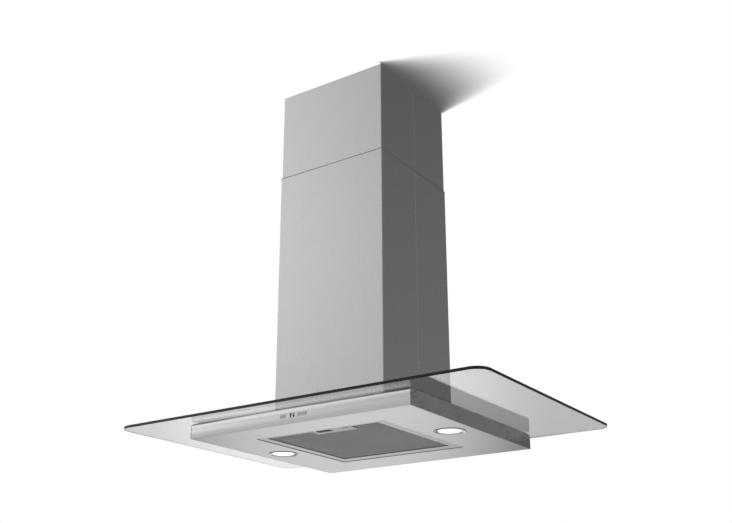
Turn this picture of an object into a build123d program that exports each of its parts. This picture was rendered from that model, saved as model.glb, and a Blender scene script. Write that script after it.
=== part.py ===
"""Island range hood: a glass canopy with a slim steel body, hung under a telescopic flue.

Frame: origin at the centre of the ceiling plate's top face, +Z up, +X to the right seen
from the control side, +Y away from the control side. Everything hangs below z = 0.
Bodies that move: canopy (height), lower flue (lifts), grease filter (tilts), filter latch,
push keys, impeller and the two check flaps. All sizes are in millimetres.
"""
from build123d import *
import os
from math import cos, radians, sin

# ---------------------------------------------------------------- driving dimensions
# Whole hood
GLASS_WIDTH = 900.0
GLASS_DEPTH = 600.0
GLASS_THICK = 6.0
GLASS_CORNER_R = 30.0
GLASS_EDGE = 0.6  # ground chamfer round the rims
GLASS_DROP = 804.0  # ceiling to the underside of the glass
BODY_WIDTH = 550.0
BODY_DEPTH = 510.0
BODY_HEIGHT = 34.0  # glass underside to the bottom panel
BODY_ROUND_R = 8.0  # rounded top of the fascias

# Telescopic flue
FLUE_WIDTH = 282.0  # lower sleeve, outside
FLUE_DEPTH = 280.0
FLUE_CORNER_R = 1.6
FLUE_SHEET = 1.0
FLUE_SLIDE_GAP = 0.5  # between the sleeves, each side
SEAM_DROP = 215.0  # ceiling to the top edge of the lower sleeve
UPPER_FLUE_LENGTH = 520.0
FLUE_JOINT_GROOVE = 0.5
FLUE_REST_GAP = 0.3

# Height travel of the canopy
CANOPY_DOWN = 250.0
CANOPY_UP = 100.0

# Sheet metal of the body
SHEET = 1.0
END_SHEET = 1.2
BODY_FLANGE = 30.0
TOP_PLATE_THICK = 1.5
GASKET_THICK = 1.0
GASKET_WIDTH = 14.0
GASKET_CORNER_R = 4.0
GASKET_SET_BACK = 1.0
PANEL_FLANGE = 8.0
PANEL_EDGE_R = 0.5

# Ceiling plate
CEILING_PLATE_THICK = 3.0
CEILING_PLATE_GAP = 1.5  # plate edge to the upper sleeve
CEILING_BOLT_PITCH = 200.0
CEILING_BOLT_HOLE_R = 4.5
CABLE_HOLE_R = 8.0  # over the gland, for the supply cable
FLUE_TAB_WIDTH = 180.0
FLUE_TAB_DEPTH = 22.0
FLUE_SCREW_X = 60.0
FLUE_SCREW_R = 2.0
FLUE_SCREW_HEAD = 2.4
SCREW_SLOT = 1.0
SCREW_CLEAR = 0.05
SCREW_END_GAP = 0.1
CLIP_WIDTH = 30.0
CLIP_HEIGHT = 70.0

# Telescopic frame of angle posts
POST_SHEET = 1.5
UPPER_POST_LEG = 28.0
LOWER_POST_LEG = 25.0
POST_TO_FLUE = 6.5  # upper post to the upper sleeve
POST_SLIDE_GAP = 0.5
UPPER_POST_BOTTOM = 560.0
LOWER_POST_TOP = 260.0
BAND_SHEET = 2.0
UPPER_BAND_HEIGHT = 14.0
LOWER_BAND_HEIGHT = 20.0
POST_BOLT_R = 3.0
POST_BOLT_HEAD_R = 5.5
POST_BOLT_HEAD = 3.0
POST_NUT_R = 5.5
POST_NUT = 4.0
POST_BOLT_TAIL = 6.0  # bolt's reach past the band
POST_BOLT_INSET = 14.0  # bolt axis from the upper post's corner
POST_SLOT_CLEAR = 0.4
HEAD_GAP = 0.3

# Glass opening over the body
GLASS_OPENING_CLEAR = 2.0  # beyond the lower posts, each side
GLASS_OPENING_R = 2.0

# Blower box and air path
BLOWER_TOP_DROP = 540.0
AIR_THROAT = 200.0
AIR_THROAT_R = 10.0
SCROLL_AXIS_DROP = 668.0
SCROLL_TONGUE_GAP = 10.0  # wheel to the scroll where the spiral starts
SCROLL_GROWTH = 32.0
SCROLL_START_ANGLE = 155.0
SCROLL_SWEEP = 205.0
SCROLL_STEPS = 12
SCROLL_WALL = 2.0
SCROLL_HALF_WIDTH = 55.0
SCROLL_INLET_LAP = 0.5  # inlet inside the wheel's ring
SCROLL_NECK_HALF = 72.0
SCROLL_NECK_RISE = 62.0
WHEEL_R = 70.0
BLADE_DEPTH = 11.5
BLADE_INSET = 0.46
WHEEL_HALF_WIDTH = 48.0
WHEEL_RING = 2.0
BLADE_COUNT = 32
BLADE_THICK = 1.2
BLADE_LEAN = 35.0  # degrees from the radius
HUB_R = 10.0
HUB_LENGTH = 12.0
SHAFT_END = 2.0
SHAFT_R = 4.0
SHAFT_CLEAR = 0.08
MOTOR_R = 42.0
MOTOR_LENGTH = 49.0
MOTOR_EDGE_R = 2.0
MOTOR_SHAFT_DEPTH = 24.0
BRACKET_THICK = 3.0
BRACKET_HUB_R = 20.0
BRACKET_RING_WIDTH = 8.0
BRACKET_ARM = 12.0
BRACKET_LAP = 4.0
CAPACITOR_R = 14.0
CAPACITOR_LENGTH = 52.0
CAPACITOR_GAP = 2.0
CAPACITOR_EDGE_R = 2.0

# Outlet collar and its check flaps
COLLAR_R = 75.0
DUCT_CLEAR = 20.0  # room round the duct where it passes the ceiling plate
DUCT_HOLE_R = COLLAR_R + DUCT_CLEAR
COLLAR_WALL = 1.5
COLLAR_HEIGHT = 50.0
COLLAR_FLANGE = 13.0
COLLAR_SEAT = 5.5
FLAP_PIN_Y = 4.0
FLAP_PIN_R = 1.5
FLAP_THICK = 1.2
FLAP_SLEEVE_R = 2.7
FLAP_RIM_GAP = 2.0
FLAP_SEAT_GAP = 0.4
PIN_RUNNING = 0.06

# Electronics beside the collar
ELEC_TO_COLLAR = 1.5
ELEC_CORNER_R = 3.0
ELEC_LENGTH = 140.0
ELEC_HEIGHT = 44.0
ELEC_WALL = 1.6
GLAND_FROM_END = 24.0
GLAND_BORE_R = 4.0
GLAND_NECK_R = 6.5
GLAND_HEX_R = 9.0
GLAND_HEX = 5.0
GLAND_NUT_R = 7.2
GLAND_NUT_ROUND_R = 2.0
GLAND_BELOW = 8.0
GLAND_ABOVE = 12.0

# Grease filter
FILTER_WIDTH = 320.0
FILTER_DEPTH = 322.0
FILTER_CENTRE_Y = -10.0
FILTER_HEIGHT = 9.0
FILTER_RECESS = 1.0  # frame face above the bottom panel's face
FILTER_GAP = 2.0
FILTER_BAND_SIDE = 19.0
FILTER_BAND_FRONT = 9.0
FILTER_BAND_REAR = 27.0
FILTER_BAND_TOP = 12.0
MESH_THICK = 1.0
PANEL_LIP = 9.0
PIVOT_PIN_R = 2.0
PIVOT_INSET = 6.0  # pivot axis from the frame's rear edge
PIVOT_REACH = 3.5
PIVOT_BOSS = 1.0
PIVOT_NOTCH = 0.5
FILTER_CORNER_R = 2.0

# Filter latch
LATCH_CENTRE_X = 24.0
LATCH_PLATE_WIDTH = 100.0
LATCH_PLATE_DEPTH = 30.0
LATCH_TRAY_HEIGHT = 5.6
LATCH_FIT = 0.5
TRAY_CORNER_R = 4.0
SLOT_CORNER_R = 2.0
LATCH_SLIT_INSET = 6.0
FINGER_SLOT_X = 3.0
FINGER_SLOT_WIDTH = 36.0
FINGER_SLOT_DEPTH = 15.5
FINGER_SLOT_FRONT = 2.0
LATCH_SLIT_WIDTH = 18.0
LATCH_SLIT_DEPTH = 4.0
GRIP_WALL = 1.5
FINGER_SPACE = 8.0
SLIDER_THICK = 2.4
SLIDER_REAR = 6.0
SLIDER_ARM = 5.0
SLIDER_SIDE = 2.0  # slot's edge to the arms
TONGUE_GAP = 0.3
LATCH_SPRING_R = 1.7
LATCH_SPRING_WIRE_R = 0.35
LATCH_SPRING_TURNS = 6
LATCH_SPRING_X = 10.0
SPRING_SEAT_GAP = 0.1

# Lamps
LAMP_X = 218.0
LAMP_Y = -9.0
LAMP_HOLE_R = 30.0
LAMP_RING_R = 34.0
LAMP_RING_DROP = 1.2
LAMP_RING_BARREL = 10.0
LAMP_RING_FACE = 2.5
LAMP_RING_EDGE = 0.5
LAMP_BARREL_GAP = 0.5
LAMP_LENS_R = 25.0
LAMP_LENS_THICK = 2.5
LAMP_LENS_SET = 1.0
LAMP_LENS_GAP = 0.1
LAMP_LENS_EDGE_R = 0.8
LAMP_CAN_R = 31.5
LAMP_CAN_FLANGE_R = 36.0
LAMP_CAN_HEIGHT = 24.0
LAMP_CAN_ROUND_R = 3.0

# Control keys and display on the front fascia
KEY_WIDTH = 6.0
KEY_HEIGHT = 7.0
KEY_PROUD = 0.3
KEY_GAP = 0.3
KEY_RIM = 0.5
KEY_RIM_HEIGHT = 1.0
KEY_RIM_THICK = 1.0
KEY_TRAVEL = 1.0
KEY_STEM = 3.0
KEY_EDGE_R = 0.25
KEY_BETWEEN = 1.0  # between the rims of two neighbours
KEY_POCKET_GAP = 0.25
FIRST_LEFT_KEY_X = -30.0
FIRST_RIGHT_KEY_X = 14.5
DISPLAY_X = -2.5
DISPLAY_WIDTH = 11.0
DISPLAY_HEIGHT = 8.6
DISPLAY_GAP = 0.2
CARRIER_DEPTH = 7.4
CARRIER_MARGIN = 8.0
CARRIER_HEIGHT = 16.0
BOARD_THICK = 1.6
BOARD_HEIGHT = 22.0
BOARD_MARGIN = 4.0
CHIP_HALF = 4.0
CHIP_THICK = 1.2
CONNECTOR_SPAN = (16.0, 32.0)
CONNECTOR_DEPTH = 5.0
CONNECTOR_HALF = 3.0
SWITCH_R = 2.2
SWITCH_THICK = 0.6

# Small parts
DRIVER_SIZE = (80.0, 120.0, 17.0)
DRIVER_EDGE_GAP = 28.0
DRIVER_CORNER_R = 3.0
PANEL_SCREW_R = 2.0
PANEL_SCREW_HEAD_R = 4.0
PANEL_SCREW_HEAD = 2.5
PANEL_SCREW_SET = 4.0  # screws inward of the flange's middle
PANEL_SCREW_X = 165.0
PANEL_SCREW_Y = 127.5

# ---------------------------------------------------------------- places worked out
Z_GLASS_LOW = -GLASS_DROP
Z_GLASS_TOP = Z_GLASS_LOW + GLASS_THICK
Z_FASCIA_TOP = Z_GLASS_LOW - GASKET_THICK
Z_TOP_PLATE = Z_FASCIA_TOP - SHEET
Z_TOP_PLATE_LOW = Z_TOP_PLATE - TOP_PLATE_THICK
Z_BODY_LOW = Z_GLASS_LOW - BODY_HEIGHT
Z_PANEL_TOP = Z_BODY_LOW + SHEET
BODY_X = BODY_WIDTH / 2
BODY_Y = BODY_DEPTH / 2
INNER_X = BODY_X - END_SHEET
INNER_Y = BODY_Y - SHEET

FLUE_X = FLUE_WIDTH / 2
FLUE_Y = FLUE_DEPTH / 2
UPPER_FLUE_X = FLUE_X - FLUE_SHEET - FLUE_SLIDE_GAP
UPPER_FLUE_Y = FLUE_Y - FLUE_SHEET - FLUE_SLIDE_GAP
FLUE_INSIDE_X = UPPER_FLUE_X - FLUE_SHEET
FLUE_INSIDE_Y = UPPER_FLUE_Y - FLUE_SHEET

UPPER_POST_X = FLUE_INSIDE_X - POST_TO_FLUE
UPPER_POST_Y = FLUE_INSIDE_Y - POST_TO_FLUE
LOWER_POST_X = UPPER_POST_X - POST_SHEET - POST_SLIDE_GAP
LOWER_POST_Y = UPPER_POST_Y - POST_SHEET - POST_SLIDE_GAP
POST_INSIDE_X = LOWER_POST_X - POST_SHEET
POST_INSIDE_Y = LOWER_POST_Y - POST_SHEET
POST_BOLT_Y = UPPER_POST_Y - POST_BOLT_INSET
Z_POST_BOLT = -LOWER_POST_TOP - LOWER_BAND_HEIGHT / 2

Z_BLOWER_TOP = -BLOWER_TOP_DROP
Z_SCROLL = -SCROLL_AXIS_DROP
WHEEL_INNER_R = WHEEL_R - BLADE_DEPTH
SCROLL_INLET_R = WHEEL_INNER_R - SCROLL_INLET_LAP
SCROLL_START_R = WHEEL_R + SCROLL_TONGUE_GAP
Z_COLLAR_LOW = Z_BLOWER_TOP + COLLAR_WALL
Z_FLAP_LOW = Z_COLLAR_LOW + FLAP_SEAT_GAP
Z_FLAP_PIN = Z_FLAP_LOW + FLAP_SLEEVE_R
COLLAR_INSIDE_R = COLLAR_R - COLLAR_WALL
OUTLET_R = COLLAR_INSIDE_R - COLLAR_SEAT

FILTER_X = FILTER_WIDTH / 2
FILTER_FRONT = FILTER_CENTRE_Y - FILTER_DEPTH / 2
FILTER_BACK = FILTER_CENTRE_Y + FILTER_DEPTH / 2
Z_FILTER_LOW = Z_BODY_LOW + FILTER_RECESS
Z_FILTER_TOP = Z_FILTER_LOW + FILTER_HEIGHT
PIVOT_Y = FILTER_BACK - PIVOT_INSET
Z_PIVOT = Z_FILTER_LOW + FILTER_HEIGHT / 2
MESH_FRONT = FILTER_FRONT + SHEET
MESH_BACK = FILTER_BACK - SHEET
MESH_X = FILTER_X - SHEET
Z_FACE_MESH = Z_FILTER_LOW + SHEET
Z_BACK_MESH_TOP = Z_FILTER_TOP - SHEET

TRAY_FRONT = FILTER_FRONT + FILTER_BAND_FRONT
TRAY_BACK = TRAY_FRONT + LATCH_PLATE_DEPTH
TRAY_LEFT = LATCH_CENTRE_X - LATCH_PLATE_WIDTH / 2
TRAY_RIGHT = LATCH_CENTRE_X + LATCH_PLATE_WIDTH / 2
Z_TRAY = Z_FILTER_LOW + SHEET / 2
Z_SLIDER = Z_TRAY + SHEET + HEAD_GAP
SLOT_FRONT = TRAY_FRONT + FINGER_SLOT_FRONT
SLOT_BACK = SLOT_FRONT + FINGER_SLOT_DEPTH
GRIP_Y = SLOT_FRONT + FINGER_SPACE
SLIDER_BACK = GRIP_Y + SLIDER_REAR
SLIDER_HALF = FINGER_SLOT_WIDTH / 2 + SLIDER_ARM + SLIDER_SIDE

FASCIA_Y = -BODY_Y
FASCIA_INSIDE_Y = FASCIA_Y + SHEET
Z_KEY = (Z_BODY_LOW + Z_FASCIA_TOP) / 2
KEY_SPACING = KEY_WIDTH + 2 * KEY_RIM + KEY_BETWEEN
BOARD_Y = FASCIA_INSIDE_Y + CARRIER_DEPTH
KEYS = {
    "light_key": FIRST_LEFT_KEY_X,
    "less_key": FIRST_LEFT_KEY_X + KEY_SPACING,
    "more_key": FIRST_RIGHT_KEY_X,
    "boost_key": FIRST_RIGHT_KEY_X + KEY_SPACING,
    "timer_key": FIRST_RIGHT_KEY_X + 2 * KEY_SPACING,
}
CARRIER_LEFT = FIRST_LEFT_KEY_X - CARRIER_MARGIN
CARRIER_RIGHT = KEYS["timer_key"] + CARRIER_MARGIN
CUT = 1.0  # how far a cutting solid runs past what it cuts


# ---------------------------------------------------------------- small helpers
def block(x, y, z):
    """Box from a (low, high) pair along each axis."""
    middle = [(low + high) / 2 for low, high in (x, y, z)]
    size = [high - low for low, high in (x, y, z)]
    return Pos(*middle) * Box(*size)


def plate(half_x, half_y, low, high):
    """Box centred on the Z axis."""
    return block((-half_x, half_x), (-half_y, half_y), (low, high))


def rod_x(radius, low, high, y, z):
    """Cylinder along X."""
    return Pos((low + high) / 2, y, z) * Rot(0, 90, 0) * Cylinder(radius, high - low)


def rod_y(radius, low, high, x, z):
    """Cylinder along Y."""
    return Pos(x, (low + high) / 2, z) * Rot(90, 0, 0) * Cylinder(radius, high - low)


def rod_z(radius, low, high, x=0.0, y=0.0):
    """Cylinder along Z."""
    return Pos(x, y, (low + high) / 2) * Cylinder(radius, high - low)


def upright(solid, radius):
    """Round the vertical edges."""
    return fillet(solid.edges().filter_by(Axis.Z), radius)


def group(solids):
    """Separate solids kept in one node."""
    return Compound(children=list(solids))


def corners(x, y):
    """The four sign combinations of a rectangle's corners."""
    return [(sx * x, sy * y) for sx in (-1, 1) for sy in (-1, 1)]


# ---------------------------------------------------------------- ceiling side
def ceiling_plate():
    solid = plate(FLUE_INSIDE_X - CEILING_PLATE_GAP, FLUE_INSIDE_Y - CEILING_PLATE_GAP,
                  -CEILING_PLATE_THICK, 0)
    solid = upright(solid, 4 * FLUE_CORNER_R)
    solid -= rod_z(DUCT_HOLE_R, -CEILING_PLATE_THICK - CUT, CUT)
    for x, y in corners(CEILING_BOLT_PITCH / 2, CEILING_BOLT_PITCH / 2):
        solid -= rod_z(CEILING_BOLT_HOLE_R, -CEILING_PLATE_THICK - CUT, CUT, x, y)
    for x, y in flue_screw_places():
        solid -= rod_z(FLUE_SCREW_R + SCREW_CLEAR, -CEILING_PLATE_THICK - CUT, CUT, x, y)
    cable_x, cable_y = gland_place()
    return solid - rod_z(CABLE_HOLE_R, -CEILING_PLATE_THICK - CUT, CUT, cable_x, cable_y)


def flue_screw_places():
    return corners(FLUE_SCREW_X, FLUE_INSIDE_Y - FLUE_TAB_DEPTH / 2)


def flue_screws():
    """Screws that hold the upper sleeve's inner tabs under the ceiling plate."""
    low = -CEILING_PLATE_THICK - FLUE_SHEET
    screws = []
    for x, y in flue_screw_places():
        head_r, head_low = 2 * FLUE_SCREW_R, low - FLUE_SCREW_HEAD
        head = rod_z(head_r, head_low, low, x, y)
        head -= block((x - SCREW_SLOT / 2, x + SCREW_SLOT / 2), (y - head_r, y + head_r),
                      (head_low - CUT, head_low + SCREW_SLOT))
        screws.append(head + rod_z(FLUE_SCREW_R, low, -SCREW_END_GAP, x, y))
    return group(screws)


def sleeve_half(half_x, half_y, low, high, side):
    """U-shaped half of a rectangular sleeve: side -1 is the front, +1 the rear."""
    outer = upright(plate(half_x, half_y, low, high), FLUE_CORNER_R)
    inner = plate(half_x - FLUE_SHEET, half_y - FLUE_SHEET, low - CUT, high + CUT)
    inner = upright(inner, FLUE_CORNER_R - FLUE_SHEET)
    keep = block((-half_x - CUT, half_x + CUT), sorted((0, side * (half_y + CUT))),
                 (low - CUT, high + CUT))
    half = (outer - inner) & keep
    joint = half.edges().filter_by(Axis.Z).filter_by(
        lambda edge: abs(edge.center().Y) < 1e-4 and abs(abs(edge.center().X) - half_x) < 1e-4)
    return chamfer(joint, FLUE_JOINT_GROOVE)


def upper_flue(side):
    half = sleeve_half(UPPER_FLUE_X, UPPER_FLUE_Y, -UPPER_FLUE_LENGTH, 0, side)
    tab_y = sorted((side * (FLUE_INSIDE_Y + FLUE_SHEET / 2), side * (FLUE_INSIDE_Y - FLUE_TAB_DEPTH)))
    tab_top = -CEILING_PLATE_THICK
    half += block((-FLUE_TAB_WIDTH / 2, FLUE_TAB_WIDTH / 2), tab_y, (tab_top - FLUE_SHEET, tab_top))
    for x, y in flue_screw_places():
        half -= rod_z(FLUE_SCREW_R + SCREW_CLEAR, tab_top - FLUE_SHEET - CUT, tab_top + CUT, x, y)
    return half


def joining_strips(inside_x, low, high):
    """Two strips that join the halves of a sleeve along its sides."""
    strips = []
    for side in (-1, 1):
        x = sorted((side * inside_x, side * (inside_x - FLUE_SHEET)))
        strips.append(block(x, (-CLIP_WIDTH / 2, CLIP_WIDTH / 2), (low, high)))
    return group(strips)


def angle_post(x, y, leg, low, high):
    """Angle post with its outer corner at x, y and its legs towards the middle."""
    x_in, y_in = x - leg * (1 if x > 0 else -1), y - leg * (1 if y > 0 else -1)
    x_wall = x - POST_SHEET * (1 if x > 0 else -1)
    y_wall = y - POST_SHEET * (1 if y > 0 else -1)
    solid = block(sorted((x, x_in)), sorted((y, y_in)), (low, high))
    return solid - block(sorted((x_wall, x_in - (x - x_in))), sorted((y_wall, y_in - (y - y_in))),
                         (low - CUT, high + CUT))


def upper_posts():
    """Four posts under the ceiling plate, slotted for the height bolts."""
    slot_low = Z_POST_BOLT - CANOPY_DOWN - POST_BOLT_R - POST_SLOT_CLEAR
    slot_high = Z_POST_BOLT + CANOPY_UP + POST_BOLT_R + POST_SLOT_CLEAR
    half_slot = POST_BOLT_R + POST_SLOT_CLEAR
    posts = []
    for side, end in corners(1, 1):
        post = angle_post(side * UPPER_POST_X, end * UPPER_POST_Y, UPPER_POST_LEG,
                          -UPPER_POST_BOTTOM, -CEILING_PLATE_THICK)
        x = sorted((side * (UPPER_POST_X + CUT), side * (UPPER_POST_X - POST_SHEET - CUT)))
        y = end * POST_BOLT_Y
        post -= block(x, (y - half_slot, y + half_slot), (slot_low, slot_high))
        posts.append(post)
    return group(posts)


def lower_posts():
    """Four posts that stand on the top plate of the body."""
    posts = []
    for side, end in corners(1, 1):
        post = angle_post(side * LOWER_POST_X, end * LOWER_POST_Y, LOWER_POST_LEG,
                          Z_TOP_PLATE, -LOWER_POST_TOP)
        x = sorted((side * (LOWER_POST_X + CUT), side * (POST_INSIDE_X - CUT)))
        post -= rod_x(POST_BOLT_R + SCREW_CLEAR, x[0], x[1], end * POST_BOLT_Y, Z_POST_BOLT)
        posts.append(post)
    return group(posts)


def band(half_x, half_y, low, high):
    """Rectangular band whose outside is half_x by half_y."""
    outer = upright(plate(half_x, half_y, low, high), BAND_SHEET)
    return outer - plate(half_x - BAND_SHEET, half_y - BAND_SHEET, low - CUT, high + CUT)


def upper_tie_band():
    return band(UPPER_POST_X + BAND_SHEET, UPPER_POST_Y + BAND_SHEET,
                -UPPER_POST_BOTTOM, -UPPER_POST_BOTTOM + UPPER_BAND_HEIGHT)


def lower_tie_band():
    low = -LOWER_POST_TOP - LOWER_BAND_HEIGHT
    outer = plate(POST_INSIDE_X, POST_INSIDE_Y, low, -LOWER_POST_TOP)
    solid = outer - plate(POST_INSIDE_X - BAND_SHEET, POST_INSIDE_Y - BAND_SHEET,
                          low - CUT, -LOWER_POST_TOP + CUT)
    for end in (-1, 1):
        solid -= rod_x(POST_BOLT_R + SCREW_CLEAR, -POST_INSIDE_X - CUT, POST_INSIDE_X + CUT,
                       end * POST_BOLT_Y, Z_POST_BOLT)
    return solid


def post_bolts():
    """Bolts with their nuts: they clamp the lower posts to the slotted upper posts."""
    bolts = []
    for side in (-1, 1):
        head = UPPER_POST_X + HEAD_GAP
        nut = POST_INSIDE_X - BAND_SHEET
        for end in (-1, 1):
            y = end * POST_BOLT_Y
            bolt = rod_x(POST_BOLT_R, nut - POST_BOLT_TAIL, head, y, Z_POST_BOLT)
            bolt += rod_x(POST_BOLT_HEAD_R, head, head + POST_BOLT_HEAD, y, Z_POST_BOLT)
            nut_middle = Pos(nut - POST_NUT / 2, y, Z_POST_BOLT) * Rot(0, 90, 0)
            bolt += nut_middle * extrude(RegularPolygon(POST_NUT_R, 6), POST_NUT / 2, both=True)
            bolts.append(bolt if side > 0 else mirror(bolt, about=Plane.YZ))
    return group(bolts)


# ---------------------------------------------------------------- glass and body
def glass_plate():
    solid = plate(GLASS_WIDTH / 2, GLASS_DEPTH / 2, Z_GLASS_LOW, Z_GLASS_TOP)
    solid = upright(solid, GLASS_CORNER_R)
    rims = solid.faces().filter_by(Axis.Z).edges()
    solid = chamfer(rims, GLASS_EDGE)
    opening = plate(LOWER_POST_X + GLASS_OPENING_CLEAR, LOWER_POST_Y + GLASS_OPENING_CLEAR,
                    Z_GLASS_LOW - CUT, Z_GLASS_TOP + CUT)
    return solid - upright(opening, GLASS_OPENING_R)


def glass_gasket():
    outer_x = BODY_X - BODY_ROUND_R
    outer_y = BODY_Y - BODY_ROUND_R - GASKET_SET_BACK
    solid = upright(plate(outer_x, outer_y, Z_FASCIA_TOP, Z_GLASS_LOW), GASKET_CORNER_R)
    return solid - plate(outer_x - GASKET_WIDTH, outer_y - GASKET_WIDTH,
                         Z_FASCIA_TOP - CUT, Z_GLASS_LOW + CUT)


def top_plate():
    """Plate under the glass that carries the posts and the blower box."""
    half_y = BODY_Y - BODY_ROUND_R - GASKET_SET_BACK
    solid = plate(INNER_X, half_y, Z_TOP_PLATE_LOW, Z_TOP_PLATE)
    throat = plate(AIR_THROAT / 2, AIR_THROAT / 2, Z_TOP_PLATE_LOW - CUT, Z_TOP_PLATE + CUT)
    solid -= upright(throat, AIR_THROAT_R)
    for x, y in panel_screw_places():
        solid -= rod_z(PANEL_SCREW_R + SCREW_CLEAR, Z_TOP_PLATE_LOW - CUT, Z_TOP_PLATE + CUT, x, y)
    return solid


def panel_screw_places():
    """Screws along the fascia flanges and along the end panel flanges."""
    inset = BODY_FLANGE / 2 + PANEL_SCREW_SET
    return corners(PANEL_SCREW_X, BODY_Y - inset) + corners(BODY_X - inset, PANEL_SCREW_Y)


def panel_screws():
    screws = []
    for x, y in panel_screw_places():
        head_low = Z_TOP_PLATE_LOW - PANEL_SCREW_HEAD
        screw = rod_z(PANEL_SCREW_HEAD_R, head_low, Z_TOP_PLATE_LOW, x, y)
        screw += rod_z(PANEL_SCREW_R, Z_TOP_PLATE_LOW, Z_FASCIA_TOP - SCREW_END_GAP, x, y)
        screws.append(screw)
    return group(screws)


def drill_flange(solid):
    for x, y in panel_screw_places():
        solid -= rod_z(PANEL_SCREW_R + SCREW_CLEAR, Z_TOP_PLATE - CUT, Z_FASCIA_TOP + CUT, x, y)
    return solid


def fascia():
    """Front fascia before its cut-outs: upright face, rounded top and inward flange."""
    outer = block((-INNER_X, INNER_X), (-BODY_Y, -BODY_Y + BODY_FLANGE), (Z_BODY_LOW, Z_FASCIA_TOP))
    outer = fillet(rounded_edge(outer, -BODY_Y, Z_FASCIA_TOP), BODY_ROUND_R)
    inner = block((-BODY_X, BODY_X), (-INNER_Y, -BODY_Y + BODY_FLANGE + CUT),
                  (Z_BODY_LOW - CUT, Z_TOP_PLATE))
    inner = fillet(rounded_edge(inner, -INNER_Y, Z_TOP_PLATE), BODY_ROUND_R - SHEET)
    return outer - inner


def rounded_edge(solid, y, z):
    """The edge along X at y and z."""
    return solid.edges().filter_by(Axis.X).filter_by(
        lambda edge: abs(edge.center().Y - y) < 1e-4 and abs(edge.center().Z - z) < 1e-4)


def front_fascia():
    solid = drill_flange(fascia())
    wall = (FASCIA_Y - CUT, FASCIA_INSIDE_Y + CUT)
    half_x, half_z = KEY_WIDTH / 2 + KEY_GAP, KEY_HEIGHT / 2 + KEY_GAP
    for x in KEYS.values():
        solid -= block((x - half_x, x + half_x), wall, (Z_KEY - half_z, Z_KEY + half_z))
    half_x, half_z = DISPLAY_WIDTH / 2 + DISPLAY_GAP, DISPLAY_HEIGHT / 2 + DISPLAY_GAP
    return solid - block((DISPLAY_X - half_x, DISPLAY_X + half_x), wall, (Z_KEY - half_z, Z_KEY + half_z))


def rear_fascia():
    return drill_flange(mirror(fascia(), about=Plane.XZ))


def end_panel(side):
    """Flat end panel that caps both fascias, with an inward top flange."""
    face = block((INNER_X, BODY_X), (-BODY_Y, BODY_Y), (Z_BODY_LOW, Z_FASCIA_TOP))
    for y in (-BODY_Y, BODY_Y):
        face = fillet(rounded_edge(face, y, Z_FASCIA_TOP), BODY_ROUND_R)
    reach = BODY_Y - BODY_FLANGE
    flange = block((BODY_X - BODY_FLANGE, INNER_X), (-reach, reach), (Z_TOP_PLATE, Z_FASCIA_TOP))
    solid = face + flange
    solid = solid if side > 0 else mirror(solid, about=Plane.YZ)
    return drill_flange(solid)


def bottom_panel():
    """Flat panel with the filter opening and the lamp holes."""
    solid = plate(INNER_X, INNER_Y, Z_BODY_LOW, Z_PANEL_TOP)
    low_rim = solid.faces().sort_by(Axis.Z)[0].edges()
    solid = fillet(low_rim, PANEL_EDGE_R)
    solid -= filter_opening(Z_BODY_LOW - CUT, Z_PANEL_TOP + CUT)
    for side in (-1, 1):
        solid -= rod_z(LAMP_HOLE_R, Z_BODY_LOW - CUT, Z_PANEL_TOP + CUT, side * LAMP_X, LAMP_Y)
    return solid


def panel_rim():
    """Stiffening strip that stands on the panel's edge, inside the fascias and end panels."""
    outer = plate(INNER_X, INNER_Y, Z_PANEL_TOP, Z_BODY_LOW + PANEL_FLANGE)
    return outer - plate(INNER_X - SHEET, INNER_Y - SHEET, Z_PANEL_TOP - CUT, Z_BODY_LOW + PANEL_FLANGE + CUT)


def filter_opening(low, high, grow=0.0):
    """Block as wide as the panel's filter opening, grown on each side."""
    reach = FILTER_GAP + grow
    return block((-FILTER_X - reach, FILTER_X + reach), (FILTER_FRONT - reach, FILTER_BACK + reach),
                 (low, high))


def filter_surround():
    """Upright collar round the filter opening, bored for the filter's pivot pins."""
    low, high = Z_PANEL_TOP, Z_BODY_LOW + PANEL_LIP
    solid = filter_opening(low, high, SHEET) - filter_opening(low - CUT, high + CUT)
    reach = FILTER_X + FILTER_GAP + SHEET + CUT
    return solid - rod_x(PIVOT_PIN_R + PIN_RUNNING, -reach, reach, PIVOT_Y, Z_PIVOT)


# ---------------------------------------------------------------- lamps
def lamp_ring(side):
    """Bezel with a sloped inner face and a barrel that goes through the panel."""
    low = Z_BODY_LOW - LAMP_RING_DROP
    barrel_r = LAMP_HOLE_R - LAMP_BARREL_GAP
    lens_r = LAMP_LENS_R + LAMP_LENS_GAP
    with BuildPart() as ring:
        with BuildSketch(Plane.XZ):
            with BuildLine():
                Polyline(
                    (LAMP_RING_R - LAMP_RING_FACE, low),
                    (lens_r, Z_BODY_LOW + LAMP_LENS_SET),
                    (lens_r, Z_BODY_LOW + LAMP_RING_BARREL),
                    (barrel_r, Z_BODY_LOW + LAMP_RING_BARREL),
                    (barrel_r, Z_BODY_LOW),
                    (LAMP_RING_R, Z_BODY_LOW),
                    (LAMP_RING_R, low + LAMP_RING_EDGE),
                    (LAMP_RING_R - LAMP_RING_EDGE, low),
                    close=True,
                )
            make_face()
        revolve(axis=Axis.Z)
    return Pos(side * LAMP_X, LAMP_Y, 0) * ring.part


def lamp_lens(side):
    low = Z_BODY_LOW + LAMP_LENS_SET
    solid = rod_z(LAMP_LENS_R, low, low + LAMP_LENS_THICK)
    solid = fillet(solid.edges().sort_by(Axis.Z)[0], LAMP_LENS_EDGE_R)
    return Pos(side * LAMP_X, LAMP_Y, 0) * solid


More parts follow.
